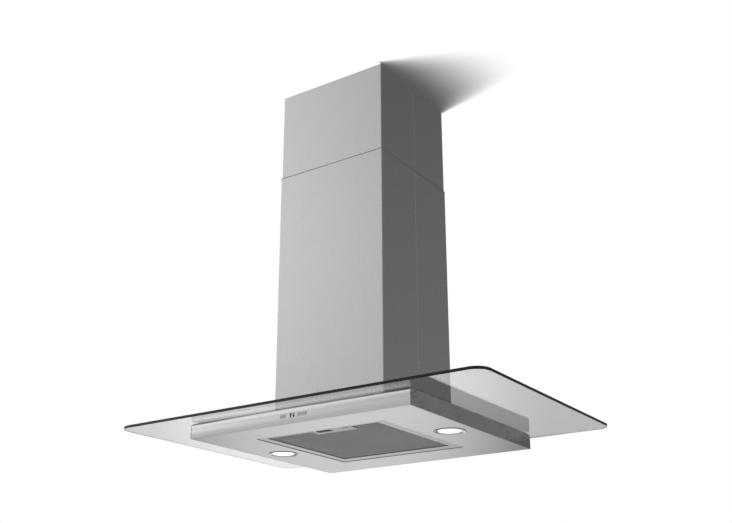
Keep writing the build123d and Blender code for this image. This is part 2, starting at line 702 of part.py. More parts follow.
def lamp_housings():
    """Can over each lamp, with a flange that sits on the bottom panel."""
    top = Z_PANEL_TOP + LAMP_CAN_HEIGHT
    solid = rod_z(LAMP_CAN_R, Z_PANEL_TOP, top)
    solid = fillet(solid.edges().sort_by(Axis.Z)[-1], LAMP_CAN_ROUND_R)
    solid += rod_z(LAMP_CAN_FLANGE_R, Z_PANEL_TOP, Z_PANEL_TOP + SHEET)
    solid -= rod_z(LAMP_CAN_R - SHEET, Z_PANEL_TOP - CUT, top - SHEET)
    return group(Pos(side * LAMP_X, LAMP_Y, 0) * solid for side in (-1, 1))


def led_driver():
    width, length, height = DRIVER_SIZE
    left = -INNER_X + DRIVER_EDGE_GAP
    back = BODY_Y - BODY_FLANGE - DRIVER_EDGE_GAP
    top = Z_TOP_PLATE_LOW
    solid = block((left, left + width), (back - length, back), (top - height, top))
    return upright(solid, DRIVER_CORNER_R)


# ---------------------------------------------------------------- controls
def control_carrier():
    """Plastic guide block behind the fascia: a pocket for each key and for the display."""
    half = CARRIER_HEIGHT / 2
    solid = block((CARRIER_LEFT, CARRIER_RIGHT), (FASCIA_INSIDE_Y, BOARD_Y), (Z_KEY - half, Z_KEY + half))
    through = (FASCIA_INSIDE_Y - CUT, BOARD_Y + CUT)
    half_x = KEY_WIDTH / 2 + KEY_RIM + KEY_POCKET_GAP
    half_z = KEY_HEIGHT / 2 + KEY_RIM_HEIGHT + KEY_POCKET_GAP
    for x in KEYS.values():
        solid -= block((x - half_x, x + half_x), through, (Z_KEY - half_z, Z_KEY + half_z))
    half_x, half_z = DISPLAY_WIDTH / 2 + DISPLAY_GAP, DISPLAY_HEIGHT / 2 + DISPLAY_GAP
    return solid - block((DISPLAY_X - half_x, DISPLAY_X + half_x), through, (Z_KEY - half_z, Z_KEY + half_z))


def display_window():
    """Window flush with the fascia, with its display module back to the board."""
    half_x, half_z = DISPLAY_WIDTH / 2, DISPLAY_HEIGHT / 2
    return block((DISPLAY_X - half_x, DISPLAY_X + half_x), (FASCIA_Y, BOARD_Y),
                 (Z_KEY - half_z, Z_KEY + half_z))


def control_board():
    """Circuit board that closes the carrier, with a switch behind each key."""
    half = BOARD_HEIGHT / 2
    board_back = BOARD_Y + BOARD_THICK
    solid = block((CARRIER_LEFT - BOARD_MARGIN, CARRIER_RIGHT + BOARD_MARGIN), (BOARD_Y, board_back),
                  (Z_KEY - half, Z_KEY + half))
    for x in KEYS.values():
        solid += rod_y(SWITCH_R, BOARD_Y - SWITCH_THICK, BOARD_Y, x, Z_KEY)
    solid += block((-CHIP_HALF, CHIP_HALF), (board_back, board_back + CHIP_THICK),
                   (Z_KEY - CHIP_HALF, Z_KEY + CHIP_HALF))
    return solid + block(CONNECTOR_SPAN, (board_back, board_back + CONNECTOR_DEPTH),
                         (Z_KEY - CONNECTOR_HALF, Z_KEY + CONNECTOR_HALF))


def push_key(name):
    """Key cap with a rim that keeps it behind the fascia and a stem towards its switch."""
    x = KEYS[name]
    half_x, half_z = KEY_WIDTH / 2, KEY_HEIGHT / 2
    rim_front = FASCIA_INSIDE_Y + HEAD_GAP
    rim_back = rim_front + KEY_RIM_THICK
    cap = block((x - half_x, x + half_x), (FASCIA_Y - KEY_PROUD, rim_back), (Z_KEY - half_z, Z_KEY + half_z))
    cap = fillet(cap.faces().sort_by(Axis.Y)[0].edges(), KEY_EDGE_R)
    rim_x, rim_z = half_x + KEY_RIM, half_z + KEY_RIM_HEIGHT
    rim = block((x - rim_x, x + rim_x), (rim_front, rim_back), (Z_KEY - rim_z, Z_KEY + rim_z))
    stem_end = BOARD_Y - SWITCH_THICK - KEY_TRAVEL - HEAD_GAP
    half = KEY_STEM / 2
    stem = block((x - half, x + half), (rim_back, stem_end), (Z_KEY - half, Z_KEY + half))
    return cap + rim + stem


# ---------------------------------------------------------------- blower
def blower_box():
    """Sheet box that stands on the top plate between the lower posts."""
    outer = upright(plate(POST_INSIDE_X, POST_INSIDE_Y, Z_TOP_PLATE, Z_BLOWER_TOP), FLUE_CORNER_R)
    inner = plate(POST_INSIDE_X - SHEET, POST_INSIDE_Y - SHEET, Z_TOP_PLATE - CUT, Z_BLOWER_TOP - SHEET)
    return outer - inner - rod_z(OUTLET_R, Z_BLOWER_TOP - SHEET - CUT, Z_BLOWER_TOP + CUT)


def scroll_outline(offset):
    """Spiral with its outlet neck, in the X-Z plane, grown by offset."""
    points = []
    for step in range(SCROLL_STEPS + 1):
        share = step / SCROLL_STEPS
        angle = radians(SCROLL_START_ANGLE + SCROLL_SWEEP * share)
        radius = SCROLL_START_R + SCROLL_GROWTH * share + offset
        points.append((radius * cos(angle), Z_SCROLL + radius * sin(angle)))
    neck_top = Z_BLOWER_TOP - SHEET
    neck_x = SCROLL_NECK_HALF + offset
    with BuildSketch() as sketch:
        with BuildLine():
            Spline(*points)
            Polyline(points[-1], (neck_x, Z_SCROLL + SCROLL_NECK_RISE), (neck_x, neck_top),
                     (-neck_x, neck_top), points[0])
        make_face()
    return sketch.face()


def scroll_half(side):
    """Half of the scroll housing, split across the wheel's middle."""
    outline = Plane.XZ * scroll_outline(0)
    hollow = Plane.XZ * scroll_outline(-SCROLL_WALL)
    depth = SCROLL_HALF_WIDTH
    solid = extrude(outline, amount=-side * depth)
    neck_cut = block((-SCROLL_NECK_HALF + SCROLL_WALL, SCROLL_NECK_HALF - SCROLL_WALL),
                     sorted((-side * CUT, side * (depth - SCROLL_WALL))),
                     (Z_SCROLL + SCROLL_NECK_RISE, Z_BLOWER_TOP + CUT))
    solid -= extrude(hollow, amount=-side * (depth - SCROLL_WALL))
    solid -= neck_cut
    inlet = sorted((side * (depth - SCROLL_WALL - CUT), side * (depth + CUT)))
    return solid - rod_y(SCROLL_INLET_R, inlet[0], inlet[1], 0, Z_SCROLL)


def impeller():
    """Double-inlet wheel: blades between two end rings, a middle disc, a hub and its shaft."""
    middle = WHEEL_RING / 2
    solid = rod_y(WHEEL_R, -middle, middle, 0, Z_SCROLL)
    solid += rod_y(HUB_R, -middle, HUB_LENGTH, 0, Z_SCROLL)
    solid += rod_y(SHAFT_R, -MOTOR_SHAFT_DEPTH + CUT, HUB_LENGTH + SHAFT_END, 0, Z_SCROLL)
    for low in (-WHEEL_HALF_WIDTH, WHEEL_HALF_WIDTH - WHEEL_RING):
        ring = rod_y(WHEEL_R, low, low + WHEEL_RING, 0, Z_SCROLL)
        solid += ring - rod_y(WHEEL_INNER_R, low - CUT, low + WHEEL_RING + CUT, 0, Z_SCROLL)
    blade = Box(BLADE_DEPTH - 2 * BLADE_INSET, 2 * WHEEL_HALF_WIDTH - WHEEL_RING, BLADE_THICK)
    for turn in range(BLADE_COUNT):
        place = Pos(0, 0, Z_SCROLL) * Rot(0, 360 * turn / BLADE_COUNT, 0)
        place *= Pos((WHEEL_R + WHEEL_INNER_R) / 2, 0, 0) * Rot(0, BLADE_LEAN, 0)
        solid += place * blade
    return solid


def motor():
    """Motor can inside the front half of the wheel, bored for the shaft."""
    front = -SCROLL_HALF_WIDTH
    back = front + MOTOR_LENGTH
    solid = rod_y(MOTOR_R, front, back, 0, Z_SCROLL)
    solid = fillet(solid.edges().filter_by(GeomType.CIRCLE), MOTOR_EDGE_R)
    return solid - rod_y(SHAFT_R + SHAFT_CLEAR, back - MOTOR_SHAFT_DEPTH, back + CUT, 0, Z_SCROLL)


def motor_bracket():
    """Three-armed spider on the front inlet that carries the motor."""
    back = -SCROLL_HALF_WIDTH
    front = back - BRACKET_THICK
    ring_r = SCROLL_INLET_R + BRACKET_RING_WIDTH
    solid = rod_y(ring_r, front, back, 0, Z_SCROLL)
    solid -= rod_y(SCROLL_INLET_R, front - CUT, back + CUT, 0, Z_SCROLL)
    solid += rod_y(BRACKET_HUB_R, front, back, 0, Z_SCROLL)
    arm = Box(BRACKET_ARM, BRACKET_THICK, SCROLL_INLET_R + BRACKET_LAP)
    arm = Pos(0, (front + back) / 2, SCROLL_INLET_R / 2) * arm
    for turn in range(3):
        solid += Pos(0, 0, Z_SCROLL) * Rot(0, 120 * turn, 0) * arm
    return solid


def capacitor():
    """Motor capacitor, hung from the box's top in its rear right corner."""
    top = Z_BLOWER_TOP - SHEET
    x = POST_INSIDE_X - SHEET - CAPACITOR_R - CAPACITOR_GAP
    y = POST_INSIDE_Y - SHEET - CAPACITOR_R - CAPACITOR_GAP
    solid = rod_z(CAPACITOR_R, top - CAPACITOR_LENGTH, top, x, y)
    return fillet(solid.edges().sort_by(Axis.Z)[0], CAPACITOR_EDGE_R)


def collar_base():
    """Flat ring on the blower box: the collar's flange outside, the flaps' seat inside."""
    ring = rod_z(COLLAR_R + COLLAR_FLANGE, Z_BLOWER_TOP, Z_COLLAR_LOW)
    return ring - rod_z(OUTLET_R, Z_BLOWER_TOP - CUT, Z_COLLAR_LOW + CUT)


def outlet_collar():
    """Round outlet that the duct slides over."""
    top = Z_BLOWER_TOP + COLLAR_HEIGHT
    return rod_z(COLLAR_R, Z_COLLAR_LOW, top) - rod_z(COLLAR_INSIDE_R, Z_COLLAR_LOW - CUT, top + CUT)


def flap_pins():
    reach = (COLLAR_INSIDE_R ** 2 - (FLAP_PIN_Y + FLAP_PIN_R) ** 2) ** 0.5 - SCREW_CLEAR
    return group(rod_x(FLAP_PIN_R, -reach, reach, side * FLAP_PIN_Y, Z_FLAP_PIN) for side in (-1, 1))


def check_flap(side):
    """Half disc on a sleeve that turns about its pin."""
    rim = COLLAR_INSIDE_R - FLAP_RIM_GAP
    disc = rod_z(rim, Z_FLAP_LOW, Z_FLAP_LOW + FLAP_THICK)
    disc &= block((-rim - CUT, rim + CUT), sorted((side * FLAP_PIN_Y, side * (rim + CUT))),
                  (Z_FLAP_LOW - CUT, Z_FLAP_PIN))
    reach = (rim ** 2 - (FLAP_PIN_Y + FLAP_SLEEVE_R) ** 2) ** 0.5 - CUT
    solid = disc + rod_x(FLAP_SLEEVE_R, -reach, reach, side * FLAP_PIN_Y, Z_FLAP_PIN)
    return solid - rod_x(FLAP_PIN_R + PIN_RUNNING, -rim, rim, side * FLAP_PIN_Y, Z_FLAP_PIN)


# ---------------------------------------------------------------- electronics
def electronics_span():
    """Low and high x of the box, between the left posts and the collar."""
    return -POST_INSIDE_X + SHEET, -COLLAR_R - COLLAR_FLANGE - ELEC_TO_COLLAR


def electronics_box():
    low = Z_BLOWER_TOP
    x = electronics_span()
    y = (-ELEC_LENGTH / 2, ELEC_LENGTH / 2)
    solid = upright(block(x, y, (low, low + ELEC_HEIGHT)), ELEC_CORNER_R)
    inside = block((x[0] + ELEC_WALL, x[1] - ELEC_WALL), (y[0] + ELEC_WALL, y[1] - ELEC_WALL),
                   (low + ELEC_WALL, low + ELEC_HEIGHT + CUT))
    return solid - upright(inside, ELEC_CORNER_R - ELEC_WALL)


def electronics_lid():
    low = Z_BLOWER_TOP + ELEC_HEIGHT
    x = electronics_span()
    solid = block(x, (-ELEC_LENGTH / 2, ELEC_LENGTH / 2), (low, low + ELEC_WALL))
    solid = upright(solid, ELEC_CORNER_R)
    centre_x, centre_y = gland_place()
    return solid - rod_z(GLAND_NECK_R + SCREW_CLEAR, low - CUT, low + ELEC_WALL + CUT, centre_x, centre_y)


def gland_place():
    x = electronics_span()
    return (x[0] + x[1]) / 2, ELEC_LENGTH / 2 - GLAND_FROM_END


def cable_gland():
    """Gland in the lid for the supply cable: threaded neck, hexagon and dome nut."""
    x, y = gland_place()
    lid_top = Z_BLOWER_TOP + ELEC_HEIGHT + ELEC_WALL
    low, high = lid_top - GLAND_BELOW, lid_top + GLAND_ABOVE
    solid = rod_z(GLAND_NECK_R, low, lid_top, x, y)
    solid += Pos(x, y, lid_top) * extrude(RegularPolygon(GLAND_HEX_R, 6), GLAND_HEX)
    nut = rod_z(GLAND_NUT_R, lid_top + GLAND_HEX, high, x, y)
    solid += fillet(nut.edges().sort_by(Axis.Z)[-1], GLAND_NUT_ROUND_R)
    return solid - rod_z(GLAND_BORE_R, low - CUT, high + CUT, x, y)


# ---------------------------------------------------------------- filter
def latch_pocket(low, high):
    """Room for the latch tray in the filter's face layers."""
    return block((TRAY_LEFT - LATCH_FIT, TRAY_RIGHT + LATCH_FIT),
                 (MESH_FRONT - CUT, TRAY_BACK + LATCH_FIT), (low, high))


def filter_frame():
    """Channel frame with a face band, a narrower back band and two pivot pins."""
    x = (-FILTER_X, FILTER_X)
    y = (FILTER_FRONT, FILTER_BACK)
    solid = upright(block(x, y, (Z_FILTER_LOW, Z_FILTER_TOP)), FILTER_CORNER_R)
    solid -= block((-MESH_X, MESH_X), (MESH_FRONT, MESH_BACK), (Z_FACE_MESH, Z_BACK_MESH_TOP))
    window_x = FILTER_X - FILTER_BAND_SIDE
    solid -= block((-window_x, window_x), (FILTER_FRONT + FILTER_BAND_FRONT, FILTER_BACK - FILTER_BAND_REAR),
                   (Z_FILTER_LOW - CUT, Z_FACE_MESH + CUT))
    back_x = FILTER_X - FILTER_BAND_TOP
    solid -= block((-back_x, back_x), (FILTER_FRONT + FILTER_BAND_TOP, FILTER_BACK - FILTER_BAND_TOP),
                   (Z_BACK_MESH_TOP - CUT, Z_FILTER_TOP + CUT))
    for centre in arm_centres():
        half = SLIDER_ARM / 2 + LATCH_FIT
        solid -= block((centre - half, centre + half), (FILTER_FRONT - CUT, MESH_FRONT + CUT),
                       (Z_SLIDER - HEAD_GAP, Z_SLIDER + SLIDER_THICK + HEAD_GAP))
    for side in (-1, 1):
        pin = sorted((side * (FILTER_X - SHEET), side * (FILTER_X + PIVOT_REACH)))
        solid += rod_x(PIVOT_PIN_R, pin[0], pin[1], PIVOT_Y, Z_PIVOT)
        boss = sorted((side * (FILTER_X - SHEET / 2), side * (FILTER_X + FILTER_GAP / 2)))
        solid += rod_x(PIVOT_PIN_R + PIVOT_BOSS, boss[0], boss[1], PIVOT_Y, Z_PIVOT)
    return solid


def mesh_slab(low, high):
    return block((-MESH_X, MESH_X), (MESH_FRONT, MESH_BACK), (low, high))


def without_pins(solid):
    """Notches beside the pivot pins."""
    for side in (-1, 1):
        reach = sorted((side * (MESH_X + CUT), side * (MESH_X - CUT)))
        solid -= rod_x(PIVOT_PIN_R + PIVOT_NOTCH, reach[0], reach[1], PIVOT_Y, Z_PIVOT)
    return solid


def filter_face_mesh():
    return mesh_slab(Z_FACE_MESH, Z_FACE_MESH + MESH_THICK) - latch_pocket(
        Z_FACE_MESH - CUT, Z_FACE_MESH + MESH_THICK + CUT)


def filter_layers():
    low, high = Z_FACE_MESH + MESH_THICK, Z_BACK_MESH_TOP - MESH_THICK
    return without_pins(mesh_slab(low, high) - latch_pocket(low - CUT, high + CUT))


def filter_back_mesh():
    return mesh_slab(Z_BACK_MESH_TOP - MESH_THICK, Z_BACK_MESH_TOP)


def latch_plate():
    """Shallow tray in the filter's face with the finger slot and a narrow slit."""
    top = Z_TRAY + LATCH_TRAY_HEIGHT
    solid = block((TRAY_LEFT, TRAY_RIGHT), (TRAY_FRONT, TRAY_BACK), (Z_TRAY, top))
    solid = fillet(rear_uprights(solid), TRAY_CORNER_R)
    hollow = block((TRAY_LEFT + SHEET, TRAY_RIGHT - SHEET), (TRAY_FRONT - CUT, TRAY_BACK - SHEET),
                   (Z_TRAY + SHEET, top + CUT))
    solid -= fillet(rear_uprights(hollow), TRAY_CORNER_R - SHEET)
    cut_z = (Z_TRAY - CUT, Z_TRAY + SHEET + CUT)
    half = FINGER_SLOT_WIDTH / 2
    slot = block((FINGER_SLOT_X - half, FINGER_SLOT_X + half), (SLOT_FRONT, SLOT_BACK), cut_z)
    solid -= upright(slot, SLOT_CORNER_R)
    slit_right = TRAY_RIGHT - LATCH_SLIT_INSET
    return solid - block((slit_right - LATCH_SLIT_WIDTH, slit_right),
                         (SLOT_FRONT, SLOT_FRONT + LATCH_SLIT_DEPTH), cut_z)


def rear_uprights(solid):
    """The two vertical edges furthest from the control side."""
    return solid.edges().filter_by(Axis.Z).sort_by(Axis.Y)[-2:]


def arm_centres():
    reach = SLIDER_HALF - SLIDER_ARM / 2
    return FINGER_SLOT_X - reach, FINGER_SLOT_X + reach


def latch_slider():
    """Sprung slider: two arms end in tongues, a grip hangs into the finger slot."""
    z = (Z_SLIDER, Z_SLIDER + SLIDER_THICK)
    left, right = FINGER_SLOT_X - SLIDER_HALF, FINGER_SLOT_X + SLIDER_HALF
    solid = block((left, right), (GRIP_Y, SLIDER_BACK), z)
    tongue = FILTER_FRONT - FILTER_GAP + TONGUE_GAP
    for centre in arm_centres():
        half = SLIDER_ARM / 2
        solid += block((centre - half, centre + half), (tongue, GRIP_Y + CUT), z)
    half = FINGER_SLOT_WIDTH / 2 - CUT
    return solid + block((FINGER_SLOT_X - half, FINGER_SLOT_X + half), (GRIP_Y, GRIP_Y + GRIP_WALL),
                         (Z_TRAY - HEAD_GAP, Z_SLIDER + SHEET))


def latch_spring():
    """Compression spring between the slider and the tray's rear wall."""
    start, end = SLIDER_BACK + SPRING_SEAT_GAP, TRAY_BACK - SHEET - SPRING_SEAT_GAP
    wire = 2 * LATCH_SPRING_WIRE_R
    path = Helix(pitch=(end - start - wire) / LATCH_SPRING_TURNS, height=end - start - wire,
                 radius=LATCH_SPRING_R - LATCH_SPRING_WIRE_R)
    section = Plane(origin=path @ 0, z_dir=path % 0) * Circle(LATCH_SPRING_WIRE_R)
    coil = sweep(section, path=path, is_frenet=True)
    middle_z = Z_SLIDER + LATCH_SPRING_R
    return Pos(LATCH_SPRING_X, start + LATCH_SPRING_WIRE_R, middle_z) * Rot(-90, 0, 0) * coil


# ---------------------------------------------------------------- every node
def nodes():
    """Name and shape of each node."""
    made = {
        "ceiling_plate": ceiling_plate(),
        "upper_posts": upper_posts(),
        "upper_tie_band": upper_tie_band(),
        "upper_flue_front": upper_flue(-1),
        "upper_flue_rear": upper_flue(1),
        "upper_flue_strips": joining_strips(FLUE_INSIDE_X, -UPPER_FLUE_LENGTH + CUT, -2 * CLIP_WIDTH),
        "flue_screws": flue_screws(),
        "lower_posts": lower_posts(),
        "lower_tie_band": lower_tie_band(),
        "post_bolts": post_bolts(),
        "glass_plate": glass_plate(),
        "glass_gasket": glass_gasket(),
        "top_plate": top_plate(),
        "front_fascia": front_fascia(),
        "rear_fascia": rear_fascia(),
        "left_end_panel": end_panel(-1),
        "right_end_panel": end_panel(1),
        "bottom_panel": bottom_panel(),
        "panel_rim": panel_rim(),
        "filter_surround": filter_surround(),
        "panel_screws": panel_screws(),
        "lamp_housings": lamp_housings(),
        "led_driver": led_driver(),
        "control_carrier": control_carrier(),
        "control_board": control_board(),
        "display_window": display_window(),
        "blower_box": blower_box(),
        "scroll_front": scroll_half(-1),
        "scroll_rear": scroll_half(1),
        "impeller": impeller(),
        "motor": motor(),
        "motor_bracket": motor_bracket(),
        "capacitor": capacitor(),
        "collar_base": collar_base(),
        "outlet_collar": outlet_collar(),
        "flap_pins": flap_pins(),
        "front_check_flap": check_flap(-1),
        "rear_check_flap": check_flap(1),
        "electronics_box": electronics_box(),
        "electronics_lid": electronics_lid(),
        "cable_gland": cable_gland(),
        "filter_frame": filter_frame(),
        "filter_face_mesh": filter_face_mesh(),
        "filter_layers": filter_layers(),
        "filter_back_mesh": filter_back_mesh(),
        "latch_plate": latch_plate(),
        "latch_slider": latch_slider(),
        "latch_spring": latch_spring(),
    }
    flue_low = Z_GLASS_TOP + FLUE_REST_GAP
    for name, side in (("lower_flue_front", -1), ("lower_flue_rear", 1)):
        made[name] = sleeve_half(FLUE_X, FLUE_Y, flue_low, -SEAM_DROP, side)
    made["lower_flue_clips"] = joining_strips(FLUE_X - FLUE_SHEET, flue_low + CUT, flue_low + CLIP_HEIGHT)
    for name, side in (("left", -1), ("right", 1)):
        made[f"lamp_ring_{name}"] = lamp_ring(side)
        made[f"lamp_lens_{name}"] = lamp_lens(side)
    for name in KEYS:
        made[name] = push_key(name)
    return made


os.makedirs("parts", exist_ok=True)
for node, shape in nodes().items():
    export_step(shape, f"parts/{node}.step")
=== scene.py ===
"""Looks of the island range hood: finishes, fine parts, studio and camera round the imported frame.

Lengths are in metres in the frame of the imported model: the ceiling is z = 0, the hood hangs
below it, and the control side faces -Y.
"""
from __future__ import annotations

import logging
import math
from dataclasses import dataclass, field
from enum import Enum
from typing import Callable, Iterable, Sequence

import bpy
from mathutils import Matrix, Vector

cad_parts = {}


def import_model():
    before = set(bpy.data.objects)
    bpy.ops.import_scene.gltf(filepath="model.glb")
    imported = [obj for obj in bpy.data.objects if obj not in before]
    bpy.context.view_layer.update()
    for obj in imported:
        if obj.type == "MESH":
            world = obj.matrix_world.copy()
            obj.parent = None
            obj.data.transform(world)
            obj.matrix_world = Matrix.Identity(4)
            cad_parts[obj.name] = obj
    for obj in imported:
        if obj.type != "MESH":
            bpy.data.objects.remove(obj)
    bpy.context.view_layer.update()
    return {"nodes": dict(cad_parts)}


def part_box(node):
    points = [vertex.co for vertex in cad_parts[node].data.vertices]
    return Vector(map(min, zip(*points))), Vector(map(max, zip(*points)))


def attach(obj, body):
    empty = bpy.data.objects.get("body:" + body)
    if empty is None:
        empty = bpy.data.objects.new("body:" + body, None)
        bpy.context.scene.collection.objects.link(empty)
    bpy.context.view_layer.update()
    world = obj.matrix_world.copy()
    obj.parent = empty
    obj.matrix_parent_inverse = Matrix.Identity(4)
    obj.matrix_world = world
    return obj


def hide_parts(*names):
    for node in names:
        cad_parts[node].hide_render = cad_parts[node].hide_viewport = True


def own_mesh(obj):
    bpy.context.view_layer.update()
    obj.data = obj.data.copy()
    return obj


LOG = logging.getLogger("range_hood")
MM = 0.001
UNIT = (0.0, 1.0)
DOWN = (1.0, 0.0)
RANGE = ("Value", "From Min", "From Max", "To Min", "To Max")

Colour = tuple[float, float, float]
Point = tuple[float, float, float]
Dressing = dict[str, tuple[str, ...]]
Node = bpy.types.Node
Socket = bpy.types.NodeSocket
Outputs = bpy.types.bpy_prop_collection
Material = bpy.types.Material
Thing = bpy.types.Object
FaceTest = Callable[[bpy.types.MeshPolygon], bool]


# ---- node trees
class Graph:
    """Places and wires nodes in one node tree."""

    def __init__(self, tree: bpy.types.NodeTree) -> None:
        """Keep the tree that the nodes go into."""
        self.tree = tree

    def feed(self, value: object, target: Socket) -> None:
        """Wire a socket to an input, or set the input.

        Args:
            value: a socket, a number, a vector or a colour.
            target: the input.
        """
        if isinstance(value, Socket):
            self.tree.links.new(value, target)
        else:
            target.default_value = (*value, 1.0) if target.type == "RGBA" else value

    def add(self, kind: str, inputs: dict[str | int, object] | None = None, **settings: object) -> Node:
        """Place a node.

        Args:
            kind: Blender's type name after "ShaderNode".
            inputs: a socket or a plain value for each input.
            settings: properties to set on it.

        Returns:
            The new node.
        """
        node = self.tree.nodes.new(f"ShaderNode{kind}")
        for name, value in settings.items():
            setattr(node, name, value)
        for name, value in (inputs or {}).items():
            self.feed(value, node.inputs[name])
        return node

    def split(self, vector: Socket) -> Outputs:
        """The X, Y and Z of a vector, by name."""
        return self.add("SeparateXYZ", {0: vector}).outputs

    def level(self) -> Socket:
        """Z of the normal: 1 facing up, 0 on a wall and -1 facing down."""
        return self.split(self.add("NewGeometry").outputs["Normal"])["Z"]

    def noise(self, vector: Socket, scale: float, detail: float = 3.0, rough: float = 0.5) -> Socket:
        """Noise from 0 to 1, with its repeats per metre, its octaves and the share of the finer ones."""
        inputs = {"Vector": vector, "Scale": scale, "Detail": detail, "Roughness": rough}
        return self.add("TexNoise", inputs).outputs["Fac"]

    def cells(self, vector: Socket, scale: float, feature: str = "F1") -> Outputs:
        """Voronoi cells, with their number per metre and which distance is measured."""
        return self.add("TexVoronoi", {"Vector": vector, "Scale": scale}, feature=feature).outputs

    def ramp(self, value: Socket, old: Sequence[float], new: Sequence[float], smooth: bool = False) -> Socket:
        """Map one range to another, clamped, and eased at both ends if smooth."""
        inputs = dict(zip(RANGE, (value, *old, *new)))
        return self.add("MapRange", inputs, interpolation_type="SMOOTHSTEP" if smooth else "LINEAR").outputs["Result"]

    def maths(self, operation: str, first: Socket | float, second: Socket | float = 0.0) -> Socket:
        """Combine two values, each a socket or a number, by Blender's name of the operation."""
        return self.add("Math", {0: first, 1: second}, operation=operation).outputs[0]

    def vectors(self, operation: str, first: Socket, second: Socket | Sequence[float]) -> Outputs:
        """Combine two vectors, by Blender's name of the operation."""
        return self.add("VectorMath", {0: first, 1: second}, operation=operation).outputs

    def blend(self, share: Socket, first: Colour | Socket, second: Colour | Socket) -> Socket:
        """Mix two colours: a share of 0 gives the first, 1 the second."""
        return self.add("Mix", {0: share, 6: first, 7: second}, data_type="RGBA").outputs[2]

    def bump(self, height: Socket, strength: float, distance: float, **normal: Socket) -> Socket:
        """Bend the normal by a height from 0 to 1, whose relief is so many metres deep."""
        inputs = {"Height": height, "Strength": strength, "Distance": distance, **normal}
        return self.add("Bump", inputs).outputs["Normal"]

    def mix(self, share: Socket, first: Node, second: Node, output: Node) -> None:
        """Send two shaders, mixed, to an output node."""
        mixed = self.add("MixShader", {0: share, 1: first.outputs[0], 2: second.outputs[0]})
        self.feed(mixed.outputs[0], output.inputs["Surface"])


class Group(Graph):
    """Node group with named inputs and outputs."""

    def __init__(self, name: str, takes: dict[str, str], gives: Sequence[str]) -> None:
        """Make the group.

        Args:
            name: its name.
            takes: name and kind of each input.
            gives: name of each value that it puts out.
        """
        super().__init__(bpy.data.node_groups.new(name, "ShaderNodeTree"))
        for label, kind in takes.items():
            self.tree.interface.new_socket(label, in_out="INPUT", socket_type=f"NodeSocket{kind}")
        for label in gives:
            self.tree.interface.new_socket(label, in_out="OUTPUT", socket_type="NodeSocketFloat")
        self.given = self.tree.nodes.new("NodeGroupInput").outputs
        self.position = self.given["Position"]

    def close(self, *values: Socket) -> bpy.types.NodeTree:
        """Wire the values to the outputs.

        Args:
            values: one value for each output.

        Returns:
            The group's tree.
        """
        result = self.tree.nodes.new("NodeGroupOutput")
        for value, target in zip(values, result.inputs):
            self.feed(value, target)
        return self.tree


class Effects:
    """Node groups that several finishes share, each built once."""

    def __init__(self) -> None:
        """Build every group."""
        self.trees = {"brushing": self._brushing(), "moulding": self._moulding(),
                      "dust": self._dust(), "handling": self._handling()}

    @staticmethod
    def _brushing() -> bpy.types.NodeTree:
        """Fine and broad streaks along one direction, and slow clouds over the sheet.

        Returns:
            The group.
        """
        group = Group("brushing", {"Position": "Vector", "Stretch": "Vector"}, ("Streaks", "Clouds"))
        stretched = group.vectors("MULTIPLY", group.position, group.given["Stretch"])[0]
        fine = group.maths("MULTIPLY", group.noise(stretched, 1.0, 4.0, 0.7), 0.65)
        broad = group.maths("MULTIPLY", group.noise(stretched, 0.16, 2.0, 0.5), 0.35)
        clouds = group.noise(group.position, 5.0, 2.0, 0.5)
        return group.close(group.ramp(group.maths("ADD", fine, broad), (0.3, 0.7), UNIT),
                           group.ramp(clouds, (0.3, 0.7), UNIT, True))

    @staticmethod
    def _moulding() -> bpy.types.NodeTree:
        """Fine eroded texture of a mould, and slow clouds of shade.

        Returns:
            The group.
        """
        group = Group("moulding", {"Position": "Vector"}, ("Pebbles", "Clouds"))
        pebbles = group.cells(group.position, 2600.0, "SMOOTH_F1")["Distance"]
        clouds = group.noise(group.position, 30.0, 3.0, 0.5)
        return group.close(group.ramp(pebbles, (0.0, 0.8), UNIT), group.ramp(clouds, (0.3, 0.7), UNIT))

    @staticmethod
    def _dust() -> bpy.types.NodeTree:
        """Dust that settles in patches on faces that look up.

        Returns:
            The group.
        """
        group = Group("settled dust", {"Position": "Vector", "Amount": "Float"}, ("Mask",))
        facing = group.ramp(group.level(), (0.5, 0.95), UNIT, True)
        patches = group.ramp(group.noise(group.position, 60.0, 5.0, 0.65), (0.35, 0.7), (0.25, 1.0))
        share = group.maths("MULTIPLY", facing, patches)
        return group.close(group.maths("MULTIPLY", share, group.given["Amount"]))

    @staticmethod
    def _handling() -> bpy.types.NodeTree:
        """Soft smudges and a few hairline scratches.

        Returns:
            The group.
        """
        group = Group("handling", {"Position": "Vector"}, ("Smudges", "Scratches"))
        smudges = group.noise(group.position, 22.0, 3.0, 0.55)
        slant = group.vectors("MULTIPLY", group.position, (14.0, 160.0, 90.0))[0]
        lines = group.cells(slant, 1.0, "DISTANCE_TO_EDGE")["Distance"]
        return group.close(group.ramp(smudges, (0.42, 0.72), UNIT, True), group.ramp(lines, (0.0, 0.02), DOWN))


class Coat(Graph):
    """Nodes of one new material: its shader, object coordinates and the shared effects."""

    def __init__(self, name: str, colour: Colour, effects: Effects | None = None) -> None:
        """Begin the material.

        Args:
            name: its name.
            colour: its plain base colour.
            effects: the shared node groups.
        """
        self.material = bpy.data.materials.new(name)
        self.material.use_nodes = True
        super().__init__(self.material.node_tree)
        self.effects = effects
        self.shader = self.tree.nodes["Principled BSDF"]
        self.position = self.add("TexCoord").outputs["Object"]
        self.put(Base_Color=colour)

    def put(self, **inputs: object) -> None:
        """Feed or set inputs of the shader, each named with _ for a space."""
        for name, value in inputs.items():
            self.feed(value, self.shader.inputs[name.replace("_", " ")])

    def effect(self, name: str, **inputs: object) -> Outputs:
        """Outputs of a shared effect at this material's object coordinates."""
        inputs["Position"] = self.position
        return self.add("Group", inputs, node_tree=self.effects.trees[name]).outputs


